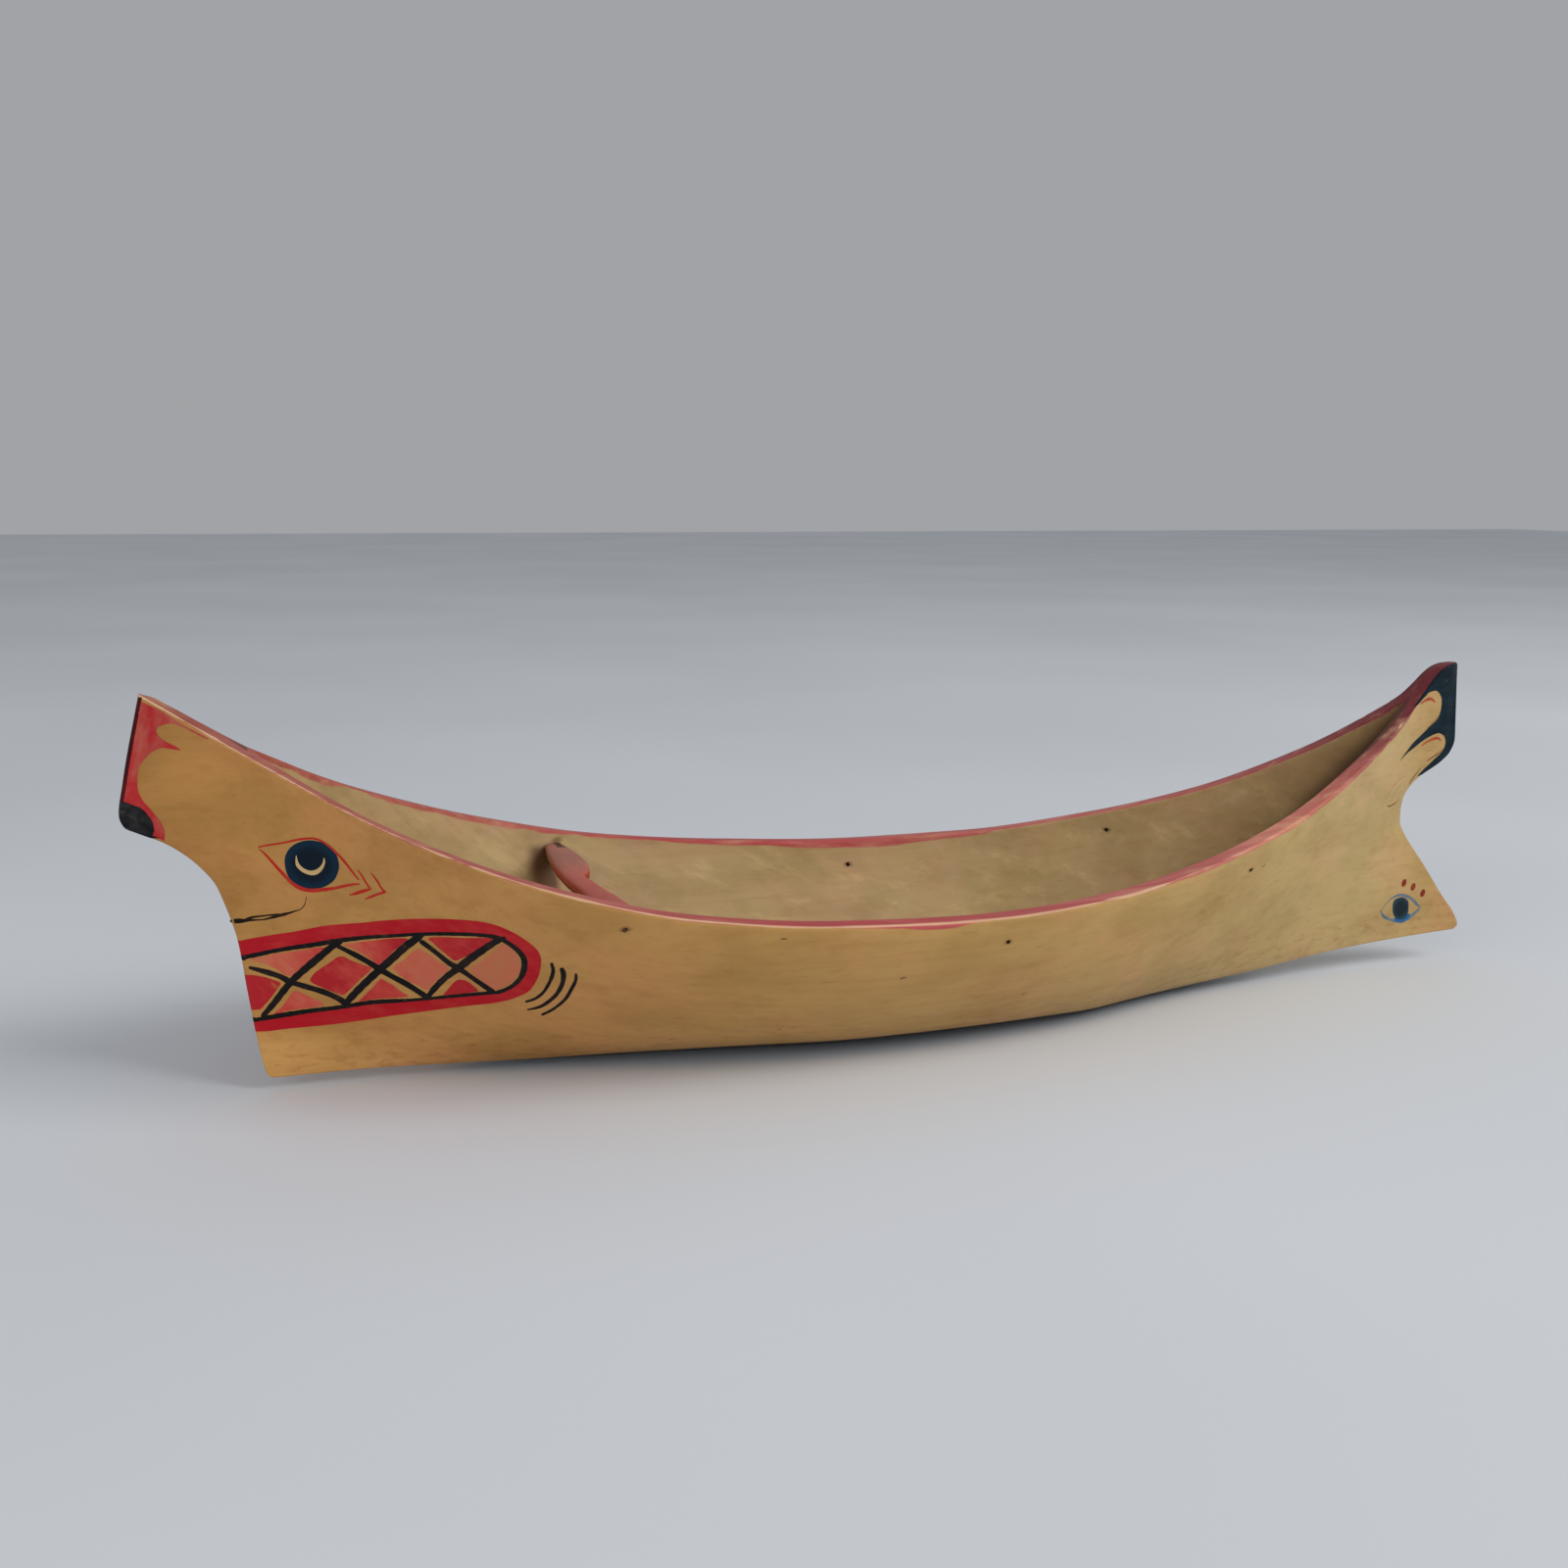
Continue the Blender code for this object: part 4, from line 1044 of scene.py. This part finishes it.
# Each wash has its load of colour at its forward and after ends, and its outline. The first runs to the stem.
WASHES = [
    ((1.0, 0.9), [(-192.6, 34.5), (-190.0, 34.0), (-187.6, 33.1), (-186.1, 32.5), (-185.7, 31.9),
        (-186.4, 30.7), (-187.8, 28.5), (-189.4, 26.4), (-191.2, 24.4)]),
    ((0.15, 0.62), [(-193.1, 39.0), (-189.5, 40.0), (-185.7, 41.0), (-181.9, 41.6), (-176.9, 42.7),
        (-174.6, 43.0), (-174.1, 42.3), (-176.9, 39.6), (-179.5, 36.6), (-181.4, 35.1), (-182.7, 34.1),
        (-184.7, 34.8), (-186.4, 36.2), (-189.1, 37.6), (-191.6, 38.4)]),
    ((0.60, 0.40), [(-182.0, 29.8), (-180.3, 29.2), (-177.8, 27.8), (-175.5, 26.5), (-174.5, 25.3),
        (-177.4, 24.7), (-181.2, 24.3), (-183.8, 23.9), (-186.4, 23.1), (-187.7, 23.0), (-185.5, 25.1),
        (-183.9, 27.5), (-182.8, 29.2)]),
    ((1.0, 0.62), [(-178.0, 32.9), (-176.6, 31.7), (-174.1, 30.4), (-170.9, 28.9), (-169.3, 28.6),
        (-167.5, 30.5), (-165.0, 33.6), (-162.2, 37.0), (-164.5, 38.2), (-167.7, 39.5), (-168.9, 40.3),
        (-170.7, 40.3), (-172.4, 38.8), (-175.0, 36.8), (-177.1, 34.8)]),
    ((0.30, 0.95), [(-168.9, 44.2), (-165.7, 45.0), (-162.0, 45.8), (-157.1, 46.8), (-154.2, 47.1),
        (-153.2, 46.7), (-155.1, 44.6), (-157.1, 42.3), (-158.5, 40.2), (-160.3, 38.4), (-162.0, 39.6),
        (-164.5, 41.6), (-166.9, 43.0)]),
    ((0.70, 0.50), [(-159.7, 33.8), (-158.2, 33.0), (-156.4, 31.7), (-154.4, 29.8), (-152.6, 28.4),
        (-155.6, 27.8), (-159.4, 27.5), (-163.3, 26.9), (-165.6, 26.3), (-164.0, 28.4), (-162.0, 30.9),
        (-160.7, 32.8)]),
    ((0.38, 0.20), [(-156.5, 37.4), (-154.1, 40.1), (-151.9, 42.8), (-150.5, 44.0), (-148.8, 42.9),
        (-145.8, 40.6), (-142.8, 38.0), (-144.6, 35.5), (-146.5, 32.7), (-147.9, 30.7), (-149.9, 31.9),
        (-153.5, 34.0)]),
    ((0.78, 0.92), [(-148.2, 47.6), (-145.1, 48.2), (-139.2, 48.4), (-134.5, 48.8), (-132.8, 48.6),
        (-132.5, 47.8), (-135.0, 45.5), (-137.7, 43.2), (-140.0, 41.5), (-141.5, 40.9), (-143.0, 42.2),
        (-145.0, 44.1), (-147.0, 46.2)]),
    ((1.0, 1.0), [(-140.1, 34.6), (-138.4, 34.4), (-136.9, 33.3), (-135.5, 31.8), (-135.0, 30.9),
        (-137.4, 30.2), (-140.6, 29.5), (-143.6, 29.1), (-143.1, 30.3), (-141.8, 32.7), (-140.9, 34.0)]),
    ((0.10, 0.04), [(-137.4, 37.9), (-134.7, 41.0), (-132.3, 44.0), (-130.3, 46.9), (-129.1, 46.8),
        (-127.4, 45.2), (-126.0, 43.0), (-125.3, 40.4), (-125.4, 37.7), (-126.5, 35.3), (-128.3, 33.1),
        (-130.4, 31.8), (-131.4, 31.7), (-133.5, 33.8), (-136.1, 36.3)])]


def wash_paint():
    """Red in a thin wash, from salmon where the brush was nearly dry to crimson where it was full."""
    material, tree, place = new_material("red wash in the mouth")
    wood, grain = wood_colour(tree, place, OUTSIDE_TONES)
    streaks = noise(tree, place, 420.0, (0.35, 1.0, 1.0), 4.0, 0.6, 0.9)
    pools = noise(tree, place, 200.0, EVEN, 3.0, 0.6)
    uneven = sums(tree, "MULTIPLY_ADD", streaks, 0.5, sums(tree, "MULTIPLY", pools, 0.6))
    load = sums(tree, "ADD", written(tree, "load of colour"), sums(tree, "SUBTRACT", uneven, 0.55))
    colour = ramp(tree, load, [(0.0, (0.54, 0.175, 0.080)), (0.30, (0.62, 0.140, 0.078)),
                               (0.62, (0.58, 0.055, 0.042)), (0.90, (0.46, 0.012, 0.018))])
    colour = toned(tree, colour, streaks, 0.60, 0.80, 0.4, wood, "MIX")
    return surfaced(material, colour, between(tree, pools, 0.3, 0.7, 0.40, 0.52), [(streaks, 0.2, 0.03)])


crimson = paint("crimson round the mouth", (0.47, 0.010, 0.019), (0.52, 0.036, 0.034), 0.7, 0.15,
                (0.12, 1.0, 1.0))
black = paint("black line paint", (0.008, 0.007, 0.008), (0.030, 0.020, 0.015), 0.6, 0.3, (0.4, 1.0, 1.0))
inner_edge = brushed(MOUTH_LINE)[::-1]
low_end, high_end = (stem_edge(BOW_STEM, *heights) for heights in BAND_AT_STEM)
band = np.concatenate([brushed(MOUTH_OUTER), low_end[1:], inner_edge[:, :2], high_end])
painted("mouth_band", [filled(band)], crimson, "red painted wood",
        caps=[wrapped(BOW_STEM, *heights, BAND_WRAP_LIFT) for heights in BAND_WRAPS])
stem_wash = np.concatenate([stem_edge(BOW_STEM, *WASH_AT_STEM), brushed(WASHES[0][1])])
washes = [filled(stem_wash)] + [dab(outline) for load, outline in WASHES[1:]]
painted("mouth_washes", washes, wash_paint(), "red painted wood", loads=[load for load, outline in WASHES],
        caps=[wrapped(BOW_STEM, *WASH_AT_STEM, BAND_WRAP_LIFT)])
stroked("mouth_lines", [MOUTH_LINE] + TEETH, black, "bare wood",
        caps=[wrapped(BOW_STEM, *heights, LINE_WRAP_LIFT) for heights in LINE_WRAPS])

# Three short black strokes behind the mouth, each one pull of a loaded brush. They are the mouth's
# black paint.

CHEEK = [
    [(-117.6, 41.3, 0.8), (-117.0, 39.1, 1.0), (-117.1, 36.8, 1.0), (-117.7, 34.0, 0.9),
     (-118.7, 31.2, 0.9), (-120.4, 29.0, 0.9), (-122.4, 27.9, 0.9)],
    [(-114.9, 39.6, 1.1), (-114.3, 37.9, 1.3), (-114.2, 34.8, 1.2), (-115.0, 31.3, 1.2),
     (-116.6, 28.4, 1.2), (-118.8, 26.1, 1.1), (-121.7, 24.9, 0.6)],
    [(-111.2, 38.0, 0.6), (-111.0, 35.9, 0.9), (-111.6, 33.1, 1.0), (-112.7, 29.2, 1.0),
     (-114.4, 26.4, 0.9), (-116.1, 24.5, 0.9), (-117.7, 23.2, 0.9)]]

stroked("cheek_strokes", CHEEK, black, "bare wood")

# The dark blue-green head of the stern, left bare in two fingers, each with a thin red-brown
# arc at its tip, faint brown lines under each and at their root, and a pale line on the near side.

# The dark head: its inner edge, where it runs along the gunwale and how far under it, its heights on the
# stem, and the depths of the band that carries it up to the rim.
STERN_INNER_EDGE = [
    (199.9, 68.6), (199.6, 69.0), (201.5, 70.9), (203.9, 72.7), (206.3, 74.6), (208.9, 76.4), (210.2, 77.9),
    (210.8, 80.3), (209.6, 82.5), (207.1, 83.7), (204.5, 83.4), (201.7, 82.5), (198.3, 81.2), (194.6, 79.5),
    (190.4, 78.0), (186.6, 75.8), (188.6, 77.7), (190.8, 79.4), (193.0, 81.0), (195.8, 82.5), (198.9, 84.3),
    (202.1, 86.5), (204.8, 88.2), (206.4, 90.4), (206.9, 93.5), (206.6, 95.9), (205.6, 97.5), (203.7, 98.9),
    (201.3, 98.8), (199.3, 98.4)]
HEAD_AT_RIM = (199.5, 213.3)
HEAD_UNDER_RIM = 1.2
HEAD_AT_STEM = (106.0, 68.9)
HEAD_WRAP = (69.0, 107.6)
HEAD_LIFT = 0.07
HEAD_WRAP_LIFT = 0.08
STERN_RIM = [(192.6, 0.05), (194.5, 0.55), (196.7, 0.8), (199.3, 1.6), (213.9, 1.6)]
STERN_ARCS = [
    [(195.8, 94.9, 0.5), (198.0, 95.8, 0.8), (200.1, 96.2, 1.1), (201.7, 96.0, 1.0), (203.3, 95.1, 0.6)],
    [(199.0, 79.8, 0.5), (201.4, 81.0, 0.8), (203.8, 81.7, 1.0), (205.6, 82.0, 1.0), (207.1, 81.8, 0.8),
     (208.2, 81.0, 0.4)]]
STERN_ROOT = [
    [(183.6, 59.8, 0.4), (185.3, 59.5, 0.6), (187.0, 59.8, 0.6), (189.4, 60.3, 0.4), (191.7, 61.2, 0.2)],
    [(200.1, 71.9, 0.3), (198.6, 70.1, 0.8), (196.8, 67.9, 1.0), (195.9, 66.1, 0.4)],
    [(206.9, 92.1, 0.2), (206.0, 89.7, 0.5), (203.9, 87.8, 0.6), (201.2, 86.0, 0.3)],
    [(210.9, 78.5, 0.2), (209.3, 77.1, 0.6), (206.1, 75.7, 0.7), (202.6, 74.0, 0.3)]]
STERN_PALE_LINE = [(192.4, 69.2, 0.2), (188.6, 67.5, 0.5), (185.4, 65.4, 0.5), (183.0, 61.1, 0.2)]

stern_dark = paint("dark blue-green on the stern", (0.004, 0.012, 0.019), (0.010, 0.030, 0.040), 0.7, 0.22)
rim_x = np.arange(*HEAD_AT_RIM, 0.5)
under_rim = np.stack([rim_x, fair(SHEER, rim_x) - HEAD_UNDER_RIM], -1)
stern_head = np.concatenate([brushed(STERN_INNER_EDGE), under_rim, stem_edge(STERN_STEM, *HEAD_AT_STEM)])
painted("stern_head", [filled(stern_head, 0.6)], stern_dark, "bare wood", lift=HEAD_LIFT,
        caps=[wrapped(STERN_STEM, *HEAD_WRAP, HEAD_WRAP_LIFT), along_rim(STERN_RIM, HEAD_WRAP_LIFT)])
brown_red = paint("red-brown line paint", (0.40, 0.055, 0.026), (0.46, 0.14, 0.065), 0.7, 0.4)
stroked("stern_arcs", STERN_ARCS, brown_red, "red painted wood")
brown = paint("brown line stain", (0.22, 0.115, 0.040), (0.34, 0.20, 0.08), 0.8, 0.9)
stroked("stern_root_lines", STERN_ROOT, brown, "bare wood")
pale_line_paint = paint("pale line of wood on the stern", (0.68, 0.50, 0.26), (0.62, 0.44, 0.21), 0.8, 0.6)
stroked("stern_pale_line", [STERN_PALE_LINE], pale_line_paint, "bare wood", sides=(-1,))

# The small eye on the tail fin: a dark oval in a thin blue almond, brighter blue under it, and three
# red-brown dots above.

TAIL_MIDDLE = (196.6, 21.0)
TAIL_EYE_RIM = 4.2
IRIS_LIFT = 0.07
TAIL_IRIS = [
    (196.0, 25.1), (198.2, 24.6), (199.9, 23.1), (200.3, 20.5), (200.3, 18.7), (198.9, 17.0), (196.2, 16.9),
    (194.2, 18.1), (193.0, 20.2), (192.6, 22.8), (193.3, 24.5)]
TAIL_LOW = [
    (187.0, 21.1, 0.6), (189.0, 18.8, 1.0), (192.1, 17.3, 1.0), (195.4, 16.5, 1.4), (198.2, 16.2, 1.6),
    (200.8, 17.0, 1.4), (203.3, 18.4, 1.2), (205.2, 19.7, 1.0)]
TAIL_HIGH = [
    (187.6, 21.5, 0.3), (189.6, 23.7, 0.3), (192.2, 25.4, 0.5), (195.5, 26.0, 1.0), (198.8, 25.3, 1.1),
    (201.8, 23.7, 1.1), (204.3, 21.6, 0.9), (205.8, 20.4, 0.5)]
TAIL_BRIGHT = [
    (194.7, 17.8), (197.5, 17.4), (200.1, 18.6), (201.5, 18.2), (200.8, 16.8), (198.2, 15.8), (195.4, 16.1),
    (194.1, 17.2)]
TAIL_DOTS = [(197.1, 30.3), (201.6, 28.4), (206.3, 25.7)]
DOT_HALF_WIDE = 1.1
DOT_HALF_TALL = 1.4
DOT_SLANT = 0.25


def dot(x, z):
    ring = [(x + DOT_HALF_WIDE * math.cos(t) + DOT_SLANT * math.sin(t), z + DOT_HALF_TALL * math.sin(t))
            for t in np.arange(8) * math.pi / 4]
    return dab(ring, 0.7, 0.3)


grey_blue = paint("grey-blue line paint", (0.080, 0.155, 0.240), (0.20, 0.23, 0.22), 0.9, 0.75)
bright_blue = paint("bright blue paint", (0.020, 0.110, 0.300), (0.05, 0.15, 0.30), 0.6, 0.2)
iris = eye_paint("dark tail eye paint", TAIL_MIDDLE, (0.010, 0.020, 0.026), (0.018, 0.050, 0.080),
                 TAIL_EYE_RIM)
stroked("tail_eye_lines", [TAIL_LOW, TAIL_HIGH], grey_blue, "bare wood", PAINT_LIFT)
painted("tail_eye_bright", [dab(TAIL_BRIGHT, 0.8)], bright_blue, "bare wood", lift=LINE_LIFT)
painted("tail_eye_iris", [dab(TAIL_IRIS, 1.0)], iris, "bare wood", lift=IRIS_LIFT)
dot_red = paint("red-brown dots", (0.22, 0.022, 0.012), (0.30, 0.06, 0.03), 0.6, 0.2)
painted("tail_dots", [dot(x, z) for x, z in TAIL_DOTS], dot_red, "red painted wood", lift=LINE_LIFT)

# An open crack in the cheek, dark inside, that runs back from the stem along the grain on the
# near side only, and the small bruises and stains that handling left beside it and along the side.

CRACKS = [
    [(-197.4, 49.9, 1.0), (-196.2, 50.1, 1.4), (-194.6, 50.2, 1.2), (-193.2, 50.4, 0.8),
     (-191.4, 50.5, 0.5), (-189.2, 50.7, 0.4), (-187.2, 51.3, 0.7), (-184.5, 52.2, 0.9),
     (-182.5, 52.9, 0.6), (-181.3, 53.4, 0.4), (-179.8, 54.0, 0.25), (-178.7, 55.5, 0.2),
     (-178.2, 57.8, 0.15)],
    [(-193.8, 50.7, 0.5), (-192.0, 51.3, 0.7), (-190.2, 51.6, 0.5), (-188.4, 51.9, 0.5),
     (-186.4, 52.2, 0.5), (-184.8, 52.4, 0.4)]]
BRUISES = [
    [(-20.3, 31.2, 0.9), (-19.1, 31.3, 0.7)],
    [(24.0, 18.9, 0.7), (25.0, 19.2, 0.5)],
    [(-58.9, 47.9, 0.5), (-57.5, 47.9, 0.4)],
    [(114.0, 49.0, 0.5), (115.2, 49.6, 0.4)],
    [(-81.2, 11.8, 0.3), (-80.0, 11.8, 0.3)],
    [(-51.6, 14.4, 0.3), (-50.7, 14.4, 0.3)]]
CRACK_LIFT = 0.02

# The crack is a dark stroke laid on the skin, not cut into it: its dark is painted shade of the open gap.
crack_shade = paint("painted shade inside the crack", (0.010, 0.006, 0.004), (0.05, 0.028, 0.012), 0.6, 0.2)
stroked("stem_crack", CRACKS, crack_shade, "bare wood", CRACK_LIFT, sides=(-1,))
stroked("bruises", BRUISES, brown, "bare wood", CRACK_LIFT, sides=(-1,))

# The thwart: a thin board with shaped edges, scribed between the walls, softened at its edges and
# painted red, the paint rubbed thin on top. Two iron brads are driven through the walls into its ends.

THWART_X = -98.0
THWART_TOP = 54.6
THWART_THICK = 3.8
# Its fore and after edges, as places across the canoe and their distances from THWART_X.
THWART_FORE = [
    (-46.0, -4.2), (-36.0, -4.9), (-22.0, -5.0), (-12.0, -5.2), (-3.0, -5.8), (6.0, -6.0), (15.0, -5.9),
    (26.0, -5.2), (38.0, -4.2), (48.0, -2.8)]
THWART_AFT = [
    (-46.0, 3.0), (-38.0, 4.2), (-24.0, 3.2), (-14.0, 1.8), (-4.0, 0.8), (2.5, 0.0), (4.5, 0.2), (8.0, 2.2),
    (14.0, 4.0), (22.0, 5.0), (32.0, 4.8), (47.0, 3.0)]
THWART_GAP = 0.35
THWART_CUTS = 90
THWART_ROUND = 28
# Powers that square its section: the smaller one is, the squarer that part.
SQUARE_BELOW = 0.40
SQUARE_ABOVE = 0.75
SQUARE_TALL = 0.45
# Where the far brad has stained the board's end.
BRAD_STAIN = [("x", -98.4, -97.4), ("x", -94.5, -95.5), ("y", 40.5, 41.2)]


def thwart_board(material):
    turn = np.arange(THWART_ROUND) * 2 * math.pi / THWART_ROUND
    cos, sin = np.cos(turn), np.sin(turn)
    wide = np.sign(cos) * np.abs(cos) ** np.where(sin < 0, SQUARE_BELOW, SQUARE_ABOVE)
    tall = np.sign(sin) * np.abs(sin) ** SQUARE_TALL
    z = THWART_TOP - THWART_THICK / 2 + tall * THWART_THICK / 2
    share = np.linspace(-1.0, 1.0, THWART_CUTS)[:, None]
    rough_reach = float(half_breadth(THWART_X, THWART_TOP)) - RIM_WIDTH - WALL_BELOW
    fore, aft = fair(THWART_FORE, share * rough_reach), fair(THWART_AFT, share * rough_reach)
    x = THWART_X + (fore + aft) / 2 + (aft - fore) / 2 * wide
    z = np.broadcast_to(z, x.shape)
    y = share * (half_breadth(x, z) - RIM_WIDTH - WALL_BELOW - THWART_GAP)
    faces = []
    for r in range(THWART_CUTS - 1):
        here, after = r * THWART_ROUND, (r + 1) * THWART_ROUND
        for c in range(THWART_ROUND):
            n = (c + 1) % THWART_ROUND
            faces.append((here + c, here + n, after + n, after + c))
    ring = tuple(range(THWART_ROUND))
    faces += [ring[::-1], tuple((THWART_CUTS - 1) * THWART_ROUND + c for c in ring)]
    mesh = mesh_of("thwart_board", np.stack([x, y, z], -1).reshape(-1, 3), faces)
    faced_outward(mesh)
    return in_scene("thwart_board", mesh, [material])


def thwart_paint():
    """Red that is full at the near end and faded at the far one, over an edge from orange to maroon; the
    maroon along the edge's lowest part is painted shade.
    """
    material, tree, place = new_material("red paint on the thwart")
    patches = noise(tree, place, 120.0, (1.0, 0.4, 1.0), 5.0, 0.65)
    rubbed = noise(tree, place, 260.0, (1.0, 0.3, 1.0), 5.0, 0.7)
    x, y, z = axes(tree, place)
    red = ramp(tree, patches, [(0.3, (0.42, 0.078, 0.055)), (0.7, (0.52, 0.130, 0.092))])
    faded = ramp(tree, patches, [(0.3, (0.33, 0.110, 0.074)), (0.7, (0.42, 0.170, 0.115))])
    reach = sums(tree, "MULTIPLY_ADD", rubbed, 12.0 * MM, y)
    red = mixed(tree, between(tree, reach, 6.0 * MM, 32.0 * MM), red, faded)
    red = toned(tree, red, rubbed, 0.55, 0.78, 0.5, (0.38, 0.21, 0.14), "MIX")
    edge = mixed(tree, between(tree, y, 18.0 * MM, 32.0 * MM), (0.42, 0.055, 0.026), (0.34, 0.130, 0.045))
    # Painted shade: the lowest part of the board's edge turns near-black, the shade under the board.
    edge = mixed(tree, between(tree, z, 52.8 * MM, 51.2 * MM), edge, (0.12, 0.020, 0.012))
    red = mixed(tree, between(tree, z, (THWART_TOP - 1.2) * MM, (THWART_TOP - 0.5) * MM), edge, red)
    red = mixed(tree, patch(tree, place, BRAD_STAIN, 0.9), red, (0.035, 0.016, 0.010))
    roughness = between(tree, rubbed, 0.3, 0.7, 0.42, 0.56)
    return surfaced(material, red, roughness, [(patches, 0.3, 0.1), (rubbed, 0.2, 0.05)])


def rusted_iron():
    material, tree, place = new_material("rusted iron")
    spots = noise(tree, place, 1500.0, EVEN, 4.0, 0.6)
    colour = ramp(tree, spots, [(0.4, (0.055, 0.032, 0.02)), (0.7, (0.19, 0.085, 0.035))])
    tree.nodes["Principled BSDF"].inputs["Metallic"].default_value = 0.5
    return surfaced(material, colour, 0.65, [(spots, 0.5, 0.05)])


thwart = thwart_board(thwart_paint())
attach(thwart, "root")
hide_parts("thwart")
iron = rusted_iron()
for brad in ("thwart_brad_far", "thwart_brad_near"):
    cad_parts[brad].material_slots[0].material = iron

# What the model stands on and is seen by: a plain pale table top, two soft lamps, a pale room and
# the camera, whose place, direction and focal length come from the ruler beside the real model.

GROUND_HALF = 5000.0
FOCAL_LENGTH = 37.76
CAMERA_PLACE = (-0.2056, -0.4610, 0.1686)
CAMERA_TOWARD = (0.33827, 0.92364, -0.18015)
CAMERA_RIGHT = (0.93943, -0.34267, 0.00704)


def pale_ground():
    material, tree, place = new_material("pale table")
    folds = noise(tree, place, 3.0, EVEN, 2.0, 0.4)
    pale = ramp(tree, folds, [(0.3, (0.675, 0.71, 0.75)), (0.7, (0.73, 0.76, 0.80))])
    return surfaced(material, pale, 0.7)


corners = [(x * GROUND_HALF, y * GROUND_HALF, 0.0) for x, y in ((-1, -1), (1, -1), (1, 1), (-1, 1))]
ground = in_scene("ground", mesh_of("ground", corners, [(0, 1, 2, 3)]), [pale_ground()])


def soft_lamp(name, place, target, size, watts, colour):
    data = bpy.data.lights.new(name, "AREA")
    data.shape = "RECTANGLE"
    data.size, data.size_y = size
    data.energy = watts
    data.color = colour
    lamp = bpy.data.objects.new(name, data)
    lamp.location = place
    lamp.rotation_euler = (Vector(target) - Vector(place)).to_track_quat("-Z", "Y").to_euler()
    bpy.context.scene.collection.objects.link(lamp)


soft_lamp("window lamp", (1.65, -1.24, 1.58), (0, 0, 0.03), (1.5, 1.4), 37.0, (1.0, 0.985, 0.965))
soft_lamp("fill lamp", (-1.3, -1.0, 0.6), (-0.1, 0, 0.03), (1.6, 1.0), 8.0, (0.98, 0.99, 1.0))

world = bpy.data.worlds.new("pale room")
world.use_nodes = True
world.node_tree.nodes["Background"].inputs["Color"].default_value = (0.94, 0.96, 1.0, 1.0)
world.node_tree.nodes["Background"].inputs["Strength"].default_value = 0.38
bpy.context.scene.world = world

lens = bpy.data.cameras.new("camera")
lens.lens = FOCAL_LENGTH
lens.sensor_width = 36.0
camera = bpy.data.objects.new("camera", lens)
toward = Vector(CAMERA_TOWARD).normalized()
right = Vector(CAMERA_RIGHT)
right = (right - toward * right.dot(toward)).normalized()
turned = Matrix((right, right.cross(toward), -toward)).transposed().to_4x4()
camera.matrix_world = Matrix.Translation(CAMERA_PLACE) @ turned
bpy.context.scene.collection.objects.link(camera)
bpy.context.scene.camera = camera
bpy.context.scene.view_settings.view_transform = "Standard"
